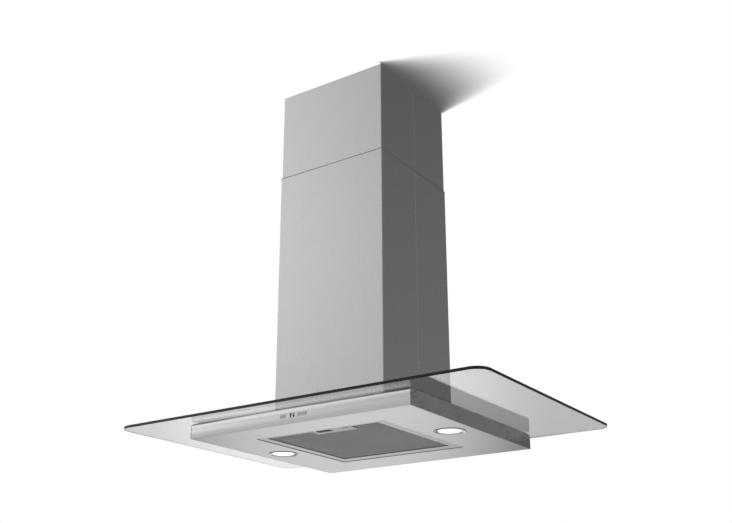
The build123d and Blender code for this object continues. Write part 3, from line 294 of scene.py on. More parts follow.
# ---- finishes
class Grain(Enum):
    """Direction of a brushed grain: noise repeats per metre, and where a highlight is drawn out."""

    UPRIGHT = ((1800.0, 1800.0, 9.0), (1.0, 1.0, 0.0))
    ALONG_WIDTH = ((9.0, 1800.0, 1800.0), (0.0, 1.0, 1.0))
    ALONG_DEPTH = ((1800.0, 9.0, 1800.0), (1.0, 0.0, 1.0))

    def __init__(self, stretch: Point, spread: Point) -> None:
        """Name the two values of each direction."""
        self.stretch = stretch
        self.spread = spread


@dataclass(frozen=True)
class Finish:
    """A finish with a name and a main colour."""

    name: str
    colour: Colour

    def shade(self, factor: float) -> Colour:
        """The main colour made lighter or darker by a factor."""
        return tuple(min(1.0, part * factor) for part in self.colour)

    def make(self, effects: Effects) -> Material:
        """Make the material.

        Args:
            effects: the shared node groups.

        Returns:
            The material.
        """
        coat = Coat(self.name, self.colour, effects)
        self.paint(coat)
        return coat.material

    def paint(self, coat: Coat) -> None:
        """Build the finish's own nodes."""
        raise NotImplementedError


@dataclass(frozen=True)
class Crown:
    """Slight crown pressed into an upright strip of sheet."""

    middle: float
    half: float
    rise: float

    def normal(self, coat: Coat, flat: Socket) -> Socket:
        """The normal bent by the crown.

        Args:
            coat: its nodes.
            flat: the normal without the crown.

        Returns:
            The bent normal.
        """
        off = coat.maths("SUBTRACT", coat.split(coat.position)["Z"], self.middle)
        share = coat.maths("DIVIDE", off, self.half)
        fall = coat.maths("MULTIPLY", coat.maths("MULTIPLY", share, share), -1.0)
        return coat.bump(fall, 1.0, self.rise, Normal=flat)


@dataclass(frozen=True)
class BrushedSteel(Finish):
    """Stainless sheet with a brushed grain."""

    grain: Grain = Grain.ALONG_WIDTH
    roughness: float = 0.3
    drawn_out: float = 0.6
    edge_round: float = 1.2 * MM
    crown: Crown | None = None

    def paint(self, coat: Coat) -> None:
        """Build streaks in its colour, roughness and relief.

        Args:
            coat: its nodes.
        """
        brushing = coat.effect("brushing", Stretch=self.grain.stretch)
        touched = coat.maths("MULTIPLY", coat.effect("handling")["Smudges"], 0.02)
        streaks = brushing["Streaks"]
        colour = coat.blend(streaks, self.shade(0.96), self.shade(1.03))
        rough = coat.ramp(streaks, UNIT, (self.roughness - 0.03, self.roughness + 0.04))
        normal = coat.add("Bevel", {"Radius": self.edge_round}, samples=4).outputs[0]
        if self.crown is not None:
            normal = self.crown.normal(coat, normal)
        across = coat.add("CombineXYZ", dict(zip("XYZ", self.grain.spread))).outputs[0]
        coat.put(Base_Color=coat.blend(brushing["Clouds"], colour, self.colour), Metallic=1.0,
                 Roughness=coat.maths("ADD", rough, touched), Anisotropic=self.drawn_out, Tangent=across,
                 Normal=coat.bump(streaks, 0.04, 0.02 * MM, Normal=normal))


@dataclass(frozen=True)
class ZincSheet(Finish):
    """Galvanised sheet with its spangle and a little dust."""

    roughness: float = 0.42
    dust_colour: Colour = (0.42, 0.40, 0.37)

    def paint(self, coat: Coat) -> None:
        """Build flakes of zinc under the dust.

        Args:
            coat: its nodes.
        """
        flakes = coat.add("SeparateColor", {0: coat.cells(coat.position, 220.0)["Color"]}).outputs
        colour = coat.blend(flakes[0], self.shade(0.82), self.shade(1.08))
        dust = coat.effect("dust", Amount=0.5)["Mask"]
        rough = coat.ramp(flakes[1], UNIT, (self.roughness - 0.08, self.roughness + 0.1))
        coat.put(Base_Color=coat.blend(dust, colour, self.dust_colour),
                 Metallic=coat.ramp(dust, UNIT, (1.0, 0.4)),
                 Roughness=coat.maths("ADD", rough, coat.maths("MULTIPLY", dust, 0.3)),
                 Normal=coat.bump(flakes[2], 0.1, 0.05 * MM))


@dataclass(frozen=True)
class BrightMetal(Finish):
    """Plated or bare bright metal with fine polishing marks."""

    roughness: float = 0.1
    marks: float = 0.08
    wall: float = 1.0

    def paint(self, coat: Coat) -> None:
        """Build smudges and scratches, and painted shade on upright walls when the wall factor is below 1.

        Args:
            coat: its nodes.
        """
        handling = coat.effect("handling")
        colour = coat.blend(handling["Scratches"], self.colour, self.shade(0.85))
        # painted shade: upright walls take the colour times the wall factor
        if self.wall < 1.0:
            upright = coat.ramp(coat.maths("ABSOLUTE", coat.level()), (0.3, 0.6), DOWN)
            colour = coat.blend(upright, colour, self.shade(self.wall))
        coat.put(Base_Color=colour, Metallic=1.0, Normal=coat.bump(handling["Scratches"], 0.15, 0.02 * MM),
                 Roughness=coat.ramp(handling["Smudges"], UNIT, (self.roughness, self.roughness + self.marks)))


@dataclass(frozen=True)
class SatinAluminium(Finish):
    """Satin aluminium with rolling marks along X and a thin film of grease."""

    roughness: float = 0.36
    film: float = 0.1

    def paint(self, coat: Coat) -> None:
        """Build the rolling marks and the film.

        Args:
            coat: its nodes.
        """
        rolling = coat.effect("brushing", Stretch=Grain.ALONG_WIDTH.stretch)
        streaks = rolling["Streaks"]
        colour = coat.blend(streaks, self.shade(0.92), self.shade(1.04))
        film = coat.maths("MULTIPLY", rolling["Clouds"], self.film)
        coat.put(Base_Color=coat.blend(film, colour, self.shade(0.6)), Metallic=1.0,
                 Roughness=coat.ramp(streaks, UNIT, (self.roughness - 0.05, self.roughness + 0.05)),
                 Normal=coat.bump(streaks, 0.1, 0.04 * MM))


@dataclass(frozen=True)
class ExpandedLayers(Finish):
    """Crumpled expanded foil inside the filter."""

    def paint(self, coat: Coat) -> None:
        """Build a dense web of strands, with painted shade in the gaps between them.

        Args:
            coat: its nodes.
        """
        web = coat.cells(coat.position, 420.0, "DISTANCE_TO_EDGE")["Distance"]
        strands = coat.ramp(web, (0.02, 0.16), DOWN, True)
        film = coat.maths("MULTIPLY", coat.effect("moulding")["Clouds"], 0.3)
        # painted shade: the gaps between strands get a quarter of the colour
        colour = coat.blend(strands, self.shade(0.25), self.colour)
        coat.put(Base_Color=coat.blend(film, colour, self.shade(0.4)), Roughness=0.5, Metallic=0.8,
                 Normal=coat.bump(strands, 0.9, 0.5 * MM))


@dataclass(frozen=True)
class MouldedPlastic(Finish):
    """Moulded plastic or rubber with its fine texture and settled dust."""

    roughness: float = 0.5
    relief: float = 0.3
    dusty: float = 0.35
    dust_colour: Colour = (0.33, 0.31, 0.28)

    def paint(self, coat: Coat) -> None:
        """Build the mould's texture under the dust.

        Args:
            coat: its nodes.
        """
        moulding = coat.effect("moulding")
        dust = coat.effect("dust", Amount=self.dusty)["Mask"]
        colour = coat.blend(moulding["Clouds"], self.shade(0.88), self.shade(1.1))
        rough = coat.ramp(moulding["Clouds"], UNIT, (self.roughness - 0.05, self.roughness + 0.08))
        coat.put(Base_Color=coat.blend(dust, colour, self.dust_colour),
                 Roughness=coat.maths("ADD", rough, coat.maths("MULTIPLY", dust, 0.25)),
                 Normal=coat.bump(moulding["Pebbles"], self.relief, 0.05 * MM))


@dataclass(frozen=True)
class ClearGlass(Finish):
    """Clear toughened glass whose ground edges are painted nearly black, a painted shade."""

    edge: Colour = (0.035, 0.04, 0.04)

    def paint(self, coat: Coat) -> None:
        """Build a clear face and edges in painted shade.

        Args:
            coat: its nodes.
        """
        # painted shade: upright faces of the plate take the near-black edge colour
        upright = coat.ramp(coat.maths("ABSOLUTE", coat.level()), (0.8, 0.95), DOWN)
        clouds = coat.effect("brushing")["Clouds"]
        face = coat.blend(clouds, self.shade(0.995), self.colour)
        coat.put(Base_Color=coat.blend(upright, face, self.edge), Roughness=0.0, IOR=1.5, Transmission_Weight=1.0)


@dataclass(frozen=True)
class LitLens(Finish):
    """Frosted lens lit from behind, a little warmer and dimmer at its rim."""

    centres: tuple[Point, ...] = ()
    radius: float = 25 * MM
    middle_glow: Colour = (1.0, 1.0, 0.98)
    rim_glow: Colour = (0.80, 0.80, 0.77)

    def paint(self, coat: Coat) -> None:
        """Build a glow that falls off towards each lens's rim.

        Args:
            coat: its nodes.
        """
        far = [coat.vectors("DISTANCE", coat.position, centre)["Value"] for centre in self.centres]
        rim = coat.ramp(coat.maths("MINIMUM", *far), (0.72 * self.radius, self.radius), UNIT, True)
        pebbles = coat.effect("moulding")["Pebbles"]
        glow = coat.blend(rim, self.middle_glow, self.rim_glow)
        coat.put(Emission_Color=coat.blend(coat.maths("MULTIPLY", pebbles, 0.08), glow, self.colour),
                 Emission_Strength=1.0, Roughness=0.35, Normal=coat.bump(pebbles, 0.25, 0.05 * MM))


@dataclass(frozen=True)
class DarkWindow(Finish):
    """Gloss black display window with faint smudges, and a painted violet glow over the whole window in place of
    light from the digit.
    """

    glow: Colour = (0.06, 0.05, 0.22)

    def paint(self, coat: Coat) -> None:
        """Build the smudges and a dim painted glow.

        Args:
            coat: its nodes.
        """
        clouds = coat.effect("moulding")["Clouds"]
        coat.put(Base_Color=coat.blend(clouds, self.colour, self.shade(1.6)),
                 Roughness=coat.ramp(coat.effect("handling")["Smudges"], UNIT, (0.06, 0.16)),
                 # painted glow: the window itself emits a dim violet light
                 Emission_Color=coat.blend(clouds, self.glow, self.shade(0.5)), Emission_Strength=0.6)


@dataclass(frozen=True)
class LitSegment(Finish):
    """Lit segment of the display, its glow a little uneven in soft clouds."""

    def paint(self, coat: Coat) -> None:
        """Build the uneven glow."""
        glow = coat.blend(coat.effect("moulding")["Clouds"], self.shade(0.8), self.colour)
        coat.put(Emission_Color=glow, Emission_Strength=1.0, Roughness=0.3)


@dataclass(frozen=True)
class CircuitBoard(Finish):
    """Green solder mask with lighter tracks."""

    def paint(self, coat: Coat) -> None:
        """Build a maze of tracks.

        Args:
            coat: its nodes.
        """
        turn = {"Vector": coat.position, "Rotation": (math.radians(90.0), 0.0, 0.0)}
        sizes = {"Scale": 160.0, "Mortar Size": 0.03, "Brick Width": 0.7, "Row Height": 0.22}
        turned = coat.add("Mapping", turn).outputs[0]
        tracks = coat.add("TexBrick", {"Vector": turned, **sizes}, offset=0.5).outputs["Fac"]
        film = coat.maths("MULTIPLY", coat.effect("moulding")["Clouds"], 0.3)
        colour = coat.blend(tracks, self.colour, self.shade(2.2))
        coat.put(Base_Color=coat.blend(film, colour, self.shade(0.6)), Roughness=0.32,
                 Normal=coat.bump(tracks, 0.3, 0.05 * MM))


class Workshop:
    """Makes each finish once and puts it on nodes and pieces."""

    def __init__(self, lens_centres: Sequence[Point], fascia_crown: Crown) -> None:
        """List the finishes.

        Args:
            lens_centres: middle of each lamp lens.
            fascia_crown: crown of the two fascias.
        """
        self.effects = Effects()
        self.made: dict[str, Material] = {}
        finishes = (
            BrushedSteel("flue_steel", (0.64, 0.64, 0.64), Grain.UPRIGHT, 0.27),
            # hem: the flue's steel painted darker, painted shade for the thin dark line at the sleeve's top edge
            BrushedSteel("hem_steel_painted_shade", (0.36, 0.36, 0.36), Grain.UPRIGHT, 0.3, edge_round=0.2 * MM),
            # fascias: the same steel painted lighter, a painted highlight
            BrushedSteel("fascia_steel_painted_light", (0.84, 0.84, 0.84), Grain.ALONG_WIDTH, 0.2, crown=fascia_crown),
            # bottom panel, rim and filter surround: the same steel painted darker, painted shade
            BrushedSteel("body_steel", (0.50, 0.50, 0.50), Grain.ALONG_WIDTH, 0.17, 0.2),
            # end panels: the same steel painted darker still, painted shade
            BrushedSteel("end_steel_painted_shade", (0.38, 0.38, 0.38), Grain.ALONG_DEPTH, 0.24),
            ZincSheet("zinc_sheet", (0.58, 0.60, 0.61)),
            ClearGlass("clear_glass", (0.80, 0.815, 0.81)),
            MouldedPlastic("black_rubber", (0.03, 0.03, 0.03), 0.65, 0.15),
            BrightMetal("fastener_zinc", (0.66, 0.66, 0.68), 0.25),
            # chrome rings: upright walls painted near black, painted shade
            BrightMetal("lamp_chrome", (0.60, 0.60, 0.61), 0.1, wall=0.06),
            BrightMetal("spring_steel", (0.55, 0.55, 0.56), 0.18),
            LitLens("lamp_lens", (0.85, 0.85, 0.83), tuple(lens_centres)),
            SatinAluminium("lamp_can", (0.62, 0.62, 0.63)),
            SatinAluminium("filter_frame", (0.48, 0.48, 0.49), 0.28),
            SatinAluminium("latch_face", (0.44, 0.44, 0.45), 0.34),
            SatinAluminium("filter_aluminium", (0.60, 0.60, 0.61), 0.42, 0.3),
            ExpandedLayers("filter_layers", (0.36, 0.36, 0.37)),
            SatinAluminium("key_face", (0.64, 0.64, 0.64), 0.24, 0.0),
            DarkWindow("display", (0.012, 0.012, 0.03)),
            LitSegment("lit_segment", (0.44, 0.41, 0.66)),
            MouldedPlastic("ink", (0.10, 0.10, 0.105), 0.5, 0.05, 0.0),
            MouldedPlastic("black_plastic", (0.035, 0.035, 0.036), 0.48),
            MouldedPlastic("blower_plastic", (0.07, 0.07, 0.075), 0.55),
            MouldedPlastic("grey_plastic", (0.36, 0.37, 0.38), 0.45),
            MouldedPlastic("motor_paint", (0.09, 0.09, 0.10), 0.35, 0.2),
            CircuitBoard("board", (0.012, 0.10, 0.045)),
        )
        self.finishes = {finish.name: finish for finish in finishes}

    def coat(self, thing: Thing, name: str) -> None:
        """Put one finish all over an object.

        Args:
            thing: a CAD node's object or a new piece.
            name: the finish, whose material is made when it is first used.
        """
        if name not in self.made:
            self.made[name] = self.finishes[name].make(self.effects)
        if not thing.material_slots:
            thing.data.materials.append(self.made[name])
        for slot in thing.material_slots:
            slot.material = self.made[name]


# ---- modelling by operators
def only(*things: Thing) -> None:
    """Select some objects alone.

    Args:
        things: the objects, of which the first becomes active.
    """
    bpy.ops.object.select_all(action="DESELECT")
    for thing in things:
        thing.select_set(True)
    bpy.context.view_layer.objects.active = things[0] if things else None


def named(name: str) -> Thing:
    """Name the primitive that was just added and settle its place in its mesh.

    Args:
        name: the piece's name.

    Returns:
        The piece.
    """
    thing = bpy.context.active_object
    thing.name = thing.data.name = name
    bpy.ops.object.transform_apply(location=True, rotation=True, scale=True)
    return thing


def cube(name: str, centre: Sequence[float], size: Sequence[float]) -> Thing:
    """Add a box.

    Args:
        name: the piece's name.
        centre: its middle.
        size: its size along each axis.

    Returns:
        The box.
    """
    only()
    bpy.ops.mesh.primitive_cube_add(size=1.0, location=centre)
    bpy.context.active_object.scale = size
    return named(name)


def disc(name: str, centre: Sequence[float], radius: float, depth: float, sides: int = 32) -> Thing:
    """Add a flat cylinder along Y.

    Args:
        name: the piece's name.
        centre: its middle.
        radius: its radius.
        depth: its thickness along Y.
        sides: how many sides it has.

    Returns:
        The disc.
    """
    only()
    turn = (math.radians(90.0), 0.0, 0.0)
    bpy.ops.mesh.primitive_cylinder_add(vertices=sides, radius=radius, depth=depth, location=centre, rotation=turn)
    return named(name)


def everywhere(_: bpy.types.MeshPolygon) -> bool:
    """Pass every face."""
    return True


def edit_faces(thing: Thing, wanted: FaceTest, *steps: Callable[[], object]) -> None:
    """Run edit-mode operators on the faces that pass a test.

    Args:
        thing: the object.
        wanted: the test.
        steps: the operators, as calls without arguments.
    """
    only(thing)
    mesh = thing.data
    chosen = [bool(wanted(face)) for face in mesh.polygons]
    if not any(chosen):
        return
    mesh.vertices.foreach_set("select", [False] * len(mesh.vertices))
    mesh.edges.foreach_set("select", [False] * len(mesh.edges))
    mesh.polygons.foreach_set("select", chosen)
    bpy.ops.object.mode_set(mode="EDIT")
    bpy.ops.mesh.select_mode(type="FACE")
    for step in steps:
        step()
    bpy.ops.object.mode_set(mode="OBJECT")


def pierce(thing: Thing, axis: int, wall: float) -> Thing:
    """Open an object along an axis by insetting its two end faces and bridging the hole.

    Args:
        thing: the object.
        axis: 0, 1 or 2 for X, Y or Z.
        wall: how thick its wall stays.

    Returns:
        The object.
    """
    edit_faces(thing, lambda face: abs(face.normal[axis]) > 0.9,
               lambda: bpy.ops.mesh.inset(thickness=wall, use_individual=True), bpy.ops.mesh.bridge_edge_loops)
    return thing


def round_edges(thing: Thing, width: float) -> Thing:
    """Soften every edge of an object.

    Args:
        thing: the object.
        width: width of the bevel.

    Returns:
        The object.
    """
    edit_faces(thing, everywhere, lambda: bpy.ops.mesh.bevel(offset=width, segments=2, affect="EDGES"))
    return thing


def merged(name: str, parts: Sequence[Thing]) -> Thing:
    """Join parts into one piece.

    Args:
        name: the piece's name.
        parts: what is joined.

    Returns:
        The joined piece.
    """
    only(*parts)
    if len(parts) > 1:
        bpy.ops.object.join()
    parts[0].name = parts[0].data.name = name
    return parts[0]


# ---- sub-assemblies
@dataclass
class SubAssembly:
    """Part of the hood: CAD nodes with their finish, and pieces of its own."""

    shop: Workshop
    dressing: Dressing = field(default_factory=dict)

    def dress(self, nodes: dict[str, Thing]) -> int:
        """Put the finishes on the CAD nodes.

        Args:
            nodes: every CAD node's object.

        Returns:
            How many nodes were dressed.
        """
        for finish, members in self.dressing.items():
            for member in members:
                self.shop.coat(nodes[member], finish)
        count = sum(len(members) for members in self.dressing.values())
        LOG.info("%s: dressed %d nodes", type(self).__name__, count)
        return count

    def settle(self, piece: Thing, body: str, finish: str, slot: str, *stands_for: str) -> None:
        """Give a new piece its finish and its place in the frame.

        Args:
            piece: the new piece.
            body: the CAD body it rides on.
            finish: its finish.
            slot: the record's material slot; not used.
            stands_for: CAD nodes that it replaces.
        """
        self.shop.coat(piece, finish)
        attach(piece, body)
        if stands_for:
            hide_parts(*stands_for)
        LOG.info("%s rides on %s: %d faces", piece.name, body, len(piece.data.polygons))

    def build(self) -> None:
        """Model the pieces that the frame doesn't have."""


@dataclass
class Flue(SubAssembly):
    """Telescopic flue with the frame inside it."""

    dressing: Dressing = field(default_factory=lambda: {
        "flue_steel": ("upper_flue_front", "upper_flue_rear", "lower_flue_front", "lower_flue_rear"),
        "zinc_sheet": ("ceiling_plate", "upper_posts", "upper_tie_band", "upper_flue_strips",
                       "lower_posts", "lower_tie_band", "lower_flue_clips"),
        "fastener_zinc": ("flue_screws", "post_bolts"),
    })
    hem_height: float = 1.8 * MM
    hem_proud: float = 0.35 * MM
    hem_wall: float = 1.0 * MM

    def build(self) -> None:
        """Model the rolled hem round the top edge of the lower sleeve, in the flue's steel painted darker as painted
        shade.
        """
        lows, highs = zip(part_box("lower_flue_front"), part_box("lower_flue_rear"))
        low = Vector([min(pair) for pair in zip(*lows)])
        high = Vector([max(pair) for pair in zip(*highs)])
        centre = (low + high) / 2
        centre.z = high.z - self.hem_height / 2
        size = high - low + Vector((2 * self.hem_proud, 2 * self.hem_proud, 0.0))
        size.z = self.hem_height
        hem = pierce(cube("sleeve_hem", centre, size), 2, self.hem_proud + self.hem_wall)
        self.settle(round_edges(hem, self.hem_proud * 0.6), "lower_flue", "hem_steel_painted_shade", "flue_steel")


@dataclass
class Body(SubAssembly):
    """Glass plate and the slim steel body under it."""

    dressing: Dressing = field(default_factory=lambda: {
        "clear_glass": ("glass_plate",),
        "black_rubber": ("glass_gasket",),
        "fascia_steel_painted_light": ("front_fascia", "rear_fascia"),
        "body_steel": ("bottom_panel", "panel_rim", "filter_surround"),
        "end_steel_painted_shade": ("left_end_panel", "right_end_panel"),
        "zinc_sheet": ("top_plate",),
        "fastener_zinc": ("panel_screws",),
        "grey_plastic": ("led_driver",),
    })


@dataclass
class Blower(SubAssembly):
    """Blower box, scroll, wheel and motor, with the outlet and the electronics."""

    dressing: Dressing = field(default_factory=lambda: {
        "zinc_sheet": ("blower_box", "motor_bracket"),
        "blower_plastic": ("scroll_front", "scroll_rear", "impeller"),
        "motor_paint": ("motor",),
        "grey_plastic": ("capacitor", "electronics_box", "electronics_lid"),
        "black_plastic": ("collar_base", "outlet_collar", "front_check_flap", "rear_check_flap", "cable_gland"),
        "fastener_zinc": ("flap_pins",),
    })


@dataclass
class Lamps(SubAssembly):
    """Two lamps with chrome rings and lit lenses."""

    dressing: Dressing = field(default_factory=lambda: {
        "lamp_chrome": ("lamp_ring_left", "lamp_ring_right"),
        "lamp_lens": ("lamp_lens_left", "lamp_lens_right"),
        "lamp_can": ("lamp_housings",),
    })


@dataclass
class GreaseFilter(SubAssembly):
    """Grease filter: its face is a real sheet of expanded aluminium."""

    dressing: Dressing = field(default_factory=lambda: {
        "filter_frame": ("filter_frame",),
        "latch_face": ("latch_plate", "latch_slider"),
        "filter_layers": ("filter_layers", "filter_back_mesh"),
        "filter_aluminium": ("filter_face_mesh",),
        "spring_steel": ("latch_spring",),
    })
    long_way: float = 6.6 * MM
    short_way: float = 4.2 * MM
    strand: float = 0.8 * MM
    sheet: float = 0.4 * MM
    wave: float = 0.15 * MM
    tray_fit: float = 0.5 * MM
    frame_fit: float = 0.3 * MM
    spring_wire: float = 0.35 * MM
    spring_turns: int = 6
    latch_travel: float = 5 * MM

    def build(self) -> None:
        """Model the face sheet in the place of the plain slab."""
        sheet = self._lattice()
        self._wave_rows(sheet)
        self._trim(sheet)
        self._clear_tray(sheet)
        self._open_cells(sheet)
        self.settle(sheet, "filter", "filter_aluminium", "filter_aluminium", "filter_face_mesh")
        self._spring()

    def _spring(self) -> None:
        """Wind the latch spring as one fixed coil; the real spring shortens towards the tray's rear wall as the latch
        opens.
        """
        low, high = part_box("latch_spring")
        middle_x, _, middle_z = (low + high) / 2
        coil = (high.x - low.x) / 2 - self.spring_wire
        length = high.y - low.y
        only()
        bpy.ops.mesh.primitive_circle_add(vertices=8, radius=self.spring_wire,
                                          location=(middle_x, low.y + self.spring_wire, middle_z))
        spring = bpy.context.active_object
        bpy.ops.object.mode_set(mode="EDIT")
        bpy.ops.mesh.select_all(action="SELECT")
        bpy.ops.transform.translate(value=(coil, 0.0, 0.0))
        bpy.ops.object.mode_set(mode="OBJECT")
        wind = spring.modifiers.new("wind", "SCREW")
        wind.axis = "Y"
        wind.iterations = self.spring_turns
        wind.screw_offset = (length - 2 * self.spring_wire) / self.spring_turns
        wind.steps = wind.render_steps = 20
        bpy.ops.object.modifier_apply(modifier=wind.name)
        named("latch_coil")
        self.settle(spring, "filter", "spring_steel", "spring_steel", "latch_spring")
        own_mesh(spring)

    def _lattice(self) -> Thing:
        """A sheet of diamonds that covers the filter's face.

        Returns:
            The sheet, larger than the face.
        """
        low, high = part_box("filter_face_mesh")
        half = (high - low) / 2
        cells = 2 * math.ceil(half.x / self.long_way + half.y / self.short_way) + 4
        only()
        bpy.ops.mesh.primitive_grid_add(x_subdivisions=cells, y_subdivisions=cells, size=cells / math.sqrt(2.0),
                                        rotation=(0.0, 0.0, math.radians(45.0)))
        sheet = named("filter_face_sheet")
        sheet.scale = (self.long_way, self.short_way, 1.0)
        sheet.location = (low + high) / 2
        bpy.ops.object.transform_apply(location=True, rotation=True, scale=True)
        return sheet

    def _wave_rows(self, sheet: Thing) -> None:
        """Raise every second row of knuckles, as the slitting press does.

        Args:
            sheet: the sheet of diamonds.
        """
        only(sheet)
        first = min(vertex.co.y for vertex in sheet.data.vertices)
        pitch = self.short_way / 2
        sheet.data.polygons.foreach_set("select", [False] * len(sheet.data.polygons))
        sheet.data.edges.foreach_set("select", [False] * len(sheet.data.edges))
        odd = [round((vertex.co.y - first) / pitch) % 2 == 1 for vertex in sheet.data.vertices]
        sheet.data.vertices.foreach_set("select", odd)
        bpy.ops.object.mode_set(mode="EDIT")
        bpy.ops.mesh.select_mode(type="VERT")
        bpy.ops.transform.translate(value=(0.0, 0.0, self.wave))
        bpy.ops.object.mode_set(mode="OBJECT")

    def _trim(self, sheet: Thing) -> None:
        """Cut the sheet to the size of the slab.

        Args:
            sheet: the sheet of diamonds.
        """
        for corner, away in zip(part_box("filter_face_mesh"), (-1.0, 1.0)):
            for axis in (0, 1):
                point = corner.copy()
                point[axis] -= away * self.frame_fit
                normal = [0.0, 0.0, 0.0]
                normal[axis] = away
                edit_faces(sheet, everywhere, lambda: bpy.ops.mesh.bisect(
                    plane_co=point, plane_no=normal, clear_outer=True))

    def _clear_tray(self, sheet: Thing) -> None:
        """Cut out the room of the latch tray.

        Args:
            sheet: the sheet of diamonds.
        """
        low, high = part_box("latch_plate")
        left, right, back = low.x - self.tray_fit, high.x + self.tray_fit, high.y + self.tray_fit
        cuts = (((left, 0, 0), (1, 0, 0)), ((right, 0, 0), (1, 0, 0)), ((0, back, 0), (0, 1, 0)))
        near = self.long_way

        def close(face: bpy.types.MeshPolygon) -> bool:
            """Whether a face lies in or beside the tray's room."""
            return left - near < face.center.x < right + near and face.center.y < back + near

        for point, normal in cuts:
            edit_faces(sheet, close, lambda: bpy.ops.mesh.bisect(plane_co=point, plane_no=normal))
        edit_faces(sheet, lambda face: left < face.center.x < right and face.center.y < back,
                   lambda: bpy.ops.mesh.delete(type="FACE"))

    def _open_cells(self, sheet: Thing) -> None:
        """Open each diamond and give the strands their thickness.

        Args:
            sheet: the trimmed sheet.
        """
        whole = 0.5 * self.long_way * self.short_way
        edit_faces(sheet, lambda face: face.area > 0.45 * whole,
                   lambda: bpy.ops.mesh.inset(thickness=self.strand / 2, use_individual=True),
                   lambda: bpy.ops.mesh.delete(type="FACE"))
        only(sheet)
        wall = sheet.modifiers.new("wall", "SOLIDIFY")
        wall.thickness = self.sheet
        wall.offset = 0.0
        bpy.ops.object.modifier_apply(modifier=wall.name)


class Icon(Enum):
    """Generic sign printed on a key."""

    LAMP = "light_key"
    LESS = "less_key"
    MORE = "more_key"
    BOOST = "boost_key"
    CLOCK = "timer_key"


@dataclass
class Controls(SubAssembly):
    """Key row: prints on the keys and a lit digit in the window."""

    dressing: Dressing = field(default_factory=lambda: {
        "key_face": tuple(icon.value for icon in Icon),
        "display": ("display_window",),
        "black_plastic": ("control_carrier",),
        "board": ("control_board",),
    })
    print_thick: float = 0.06 * MM
    stroke: float = 0.7 * MM
    sign: float = 3.6 * MM
    digit_width: float = 5.4 * MM
    digit_height: float = 7.8 * MM
    segment: float = 1.5 * MM

    def build(self) -> None:
        """Print the signs and light the digit."""
        for icon in Icon:
            sign = merged(f"{icon.value}_print", list(self._sign(icon, self._front(icon.value))))
            self.settle(sign, icon.value.replace("_key", "_button"), "ink", "key_face")
        self._digit(self._front("display_window"))

    def _front(self, node: str) -> Vector:
        """Middle of a print that lies on a node's front face."""
        low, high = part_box(node)
        return Vector(((low.x + high.x) / 2, low.y - self.print_thick / 2, (low.z + high.z) / 2))

    def _bar(self, at: Vector, dx: float, dz: float, width: float, height: float) -> Thing:
        """One stroke of a sign, moved dx to the right and dz up from the sign's middle."""
        bar = cube("stroke", at + Vector((dx, 0.0, dz)), (width, self.print_thick, height))
        return round_edges(bar, self.print_thick / 4)

    def _ring(self, at: Vector, outer: float, wall: float) -> Thing:
        """A ring with its outer radius and the width of its band."""
        return pierce(disc("ring", at, outer, self.print_thick), 1, wall)

    def _sign(self, icon: Icon, at: Vector) -> Iterable[Thing]:
        """Model the parts of a sign.

        Args:
            icon: which sign.
            at: its middle.

        Yields:
            Each part.
        """
        full, half, thin = self.sign, self.sign / 2, self.stroke
        fine = thin * 0.7
        if icon in (Icon.LESS, Icon.MORE):
            yield self._bar(at, 0.0, 0.0, full, thin)
        if icon is Icon.MORE:
            for side in (1, -1):
                yield self._bar(at, 0.0, side * (half + thin / 2) / 2, thin, half - thin / 2)
        if icon is Icon.LAMP:
            yield self._ring(at + Vector((0.0, 0.0, thin / 2)), half * 0.8, fine)
            yield self._bar(at, 0.0, -half, half * 0.8, fine)
            yield self._bar(at, 0.0, -half - thin, half * 0.5, thin * 0.6)
        if icon is Icon.CLOCK:
            yield self._ring(at, half, fine)
            yield self._bar(at, 0.0, half * 0.3, fine, half * 0.55)
            yield self._bar(at, half * 0.3, 0.0, half * 0.5, thin * 0.6)
        if icon is Icon.BOOST:
            for side in (-1, 1):
                lift = Vector((0.0, 0.0, side * half * 0.55))
                yield disc("arrow", at + lift, half * 0.7, self.print_thick, 3)

    def _digit(self, at: Vector) -> None:
        """Light a seven-segment two in the window.

        Args:
            at: the digit's middle.
        """
        thick = self.segment
        across, up, post = self.digit_width - thick, (self.digit_height - thick) / 2, self.digit_height / 2 - thick
        corner = self.digit_height / 4 - thick / 8
        places = ((0.0, up, across, thick), (0.0, 0.0, across, thick), (0.0, -up, across, thick),
                  (across / 2, corner, thick, post), (-across / 2, -corner, thick, post))
        bars = [self._bar(at, *place) for place in places]
        self.settle(merged("digit_segments", bars), "canopy", "lit_segment", "display")


# ---- studio
@dataclass(frozen=True)
class Glow:
    """Soft source in the surroundings: a direction, where it fades in, and its strength."""

    direction: Point
    start: float
    full: float
    strength: float


@dataclass(frozen=True)
class CeilingShadow:
    """Soft shadow on the ceiling beside the flue's right face."""

    side: float
    rear: float
    longest: float = 30 * MM
    front: float = -150 * MM
    reach: float = 250 * MM
    roundness: float = 2.6
    depth: float = 0.90
    edge: float = 6 * MM
    under: float = -80.0

    def shade(self, coat: Coat) -> Socket:
        """Depth of the shadow over the ceiling.

        Args:
            coat: the ceiling's nodes.

        Returns:
            The share of the light that is missing.
        """
        place = coat.split(coat.position)
        away = coat.maths("SUBTRACT", place["X"], self.side)
        away = coat.maths("MAXIMUM", coat.maths("ADD", away, self.edge), coat.maths("MULTIPLY", away, self.under))
        off = coat.maths("SUBTRACT", place["Y"], self.longest)
        behind = coat.maths("DIVIDE", off, self.rear - self.longest)
        ahead = coat.maths("DIVIDE", off, self.front - self.longest)
        fall = coat.maths("POWER", coat.maths("MAXIMUM", behind, ahead), self.roundness)
        reach = coat.maths("MULTIPLY", coat.maths("SUBTRACT", 1.0, fall), self.reach)
        reach = coat.maths("MAXIMUM", reach, self.edge / 2)
        return coat.ramp(coat.maths("DIVIDE", away, reach), (0.02, 1.1), (self.depth, 0.0), True)


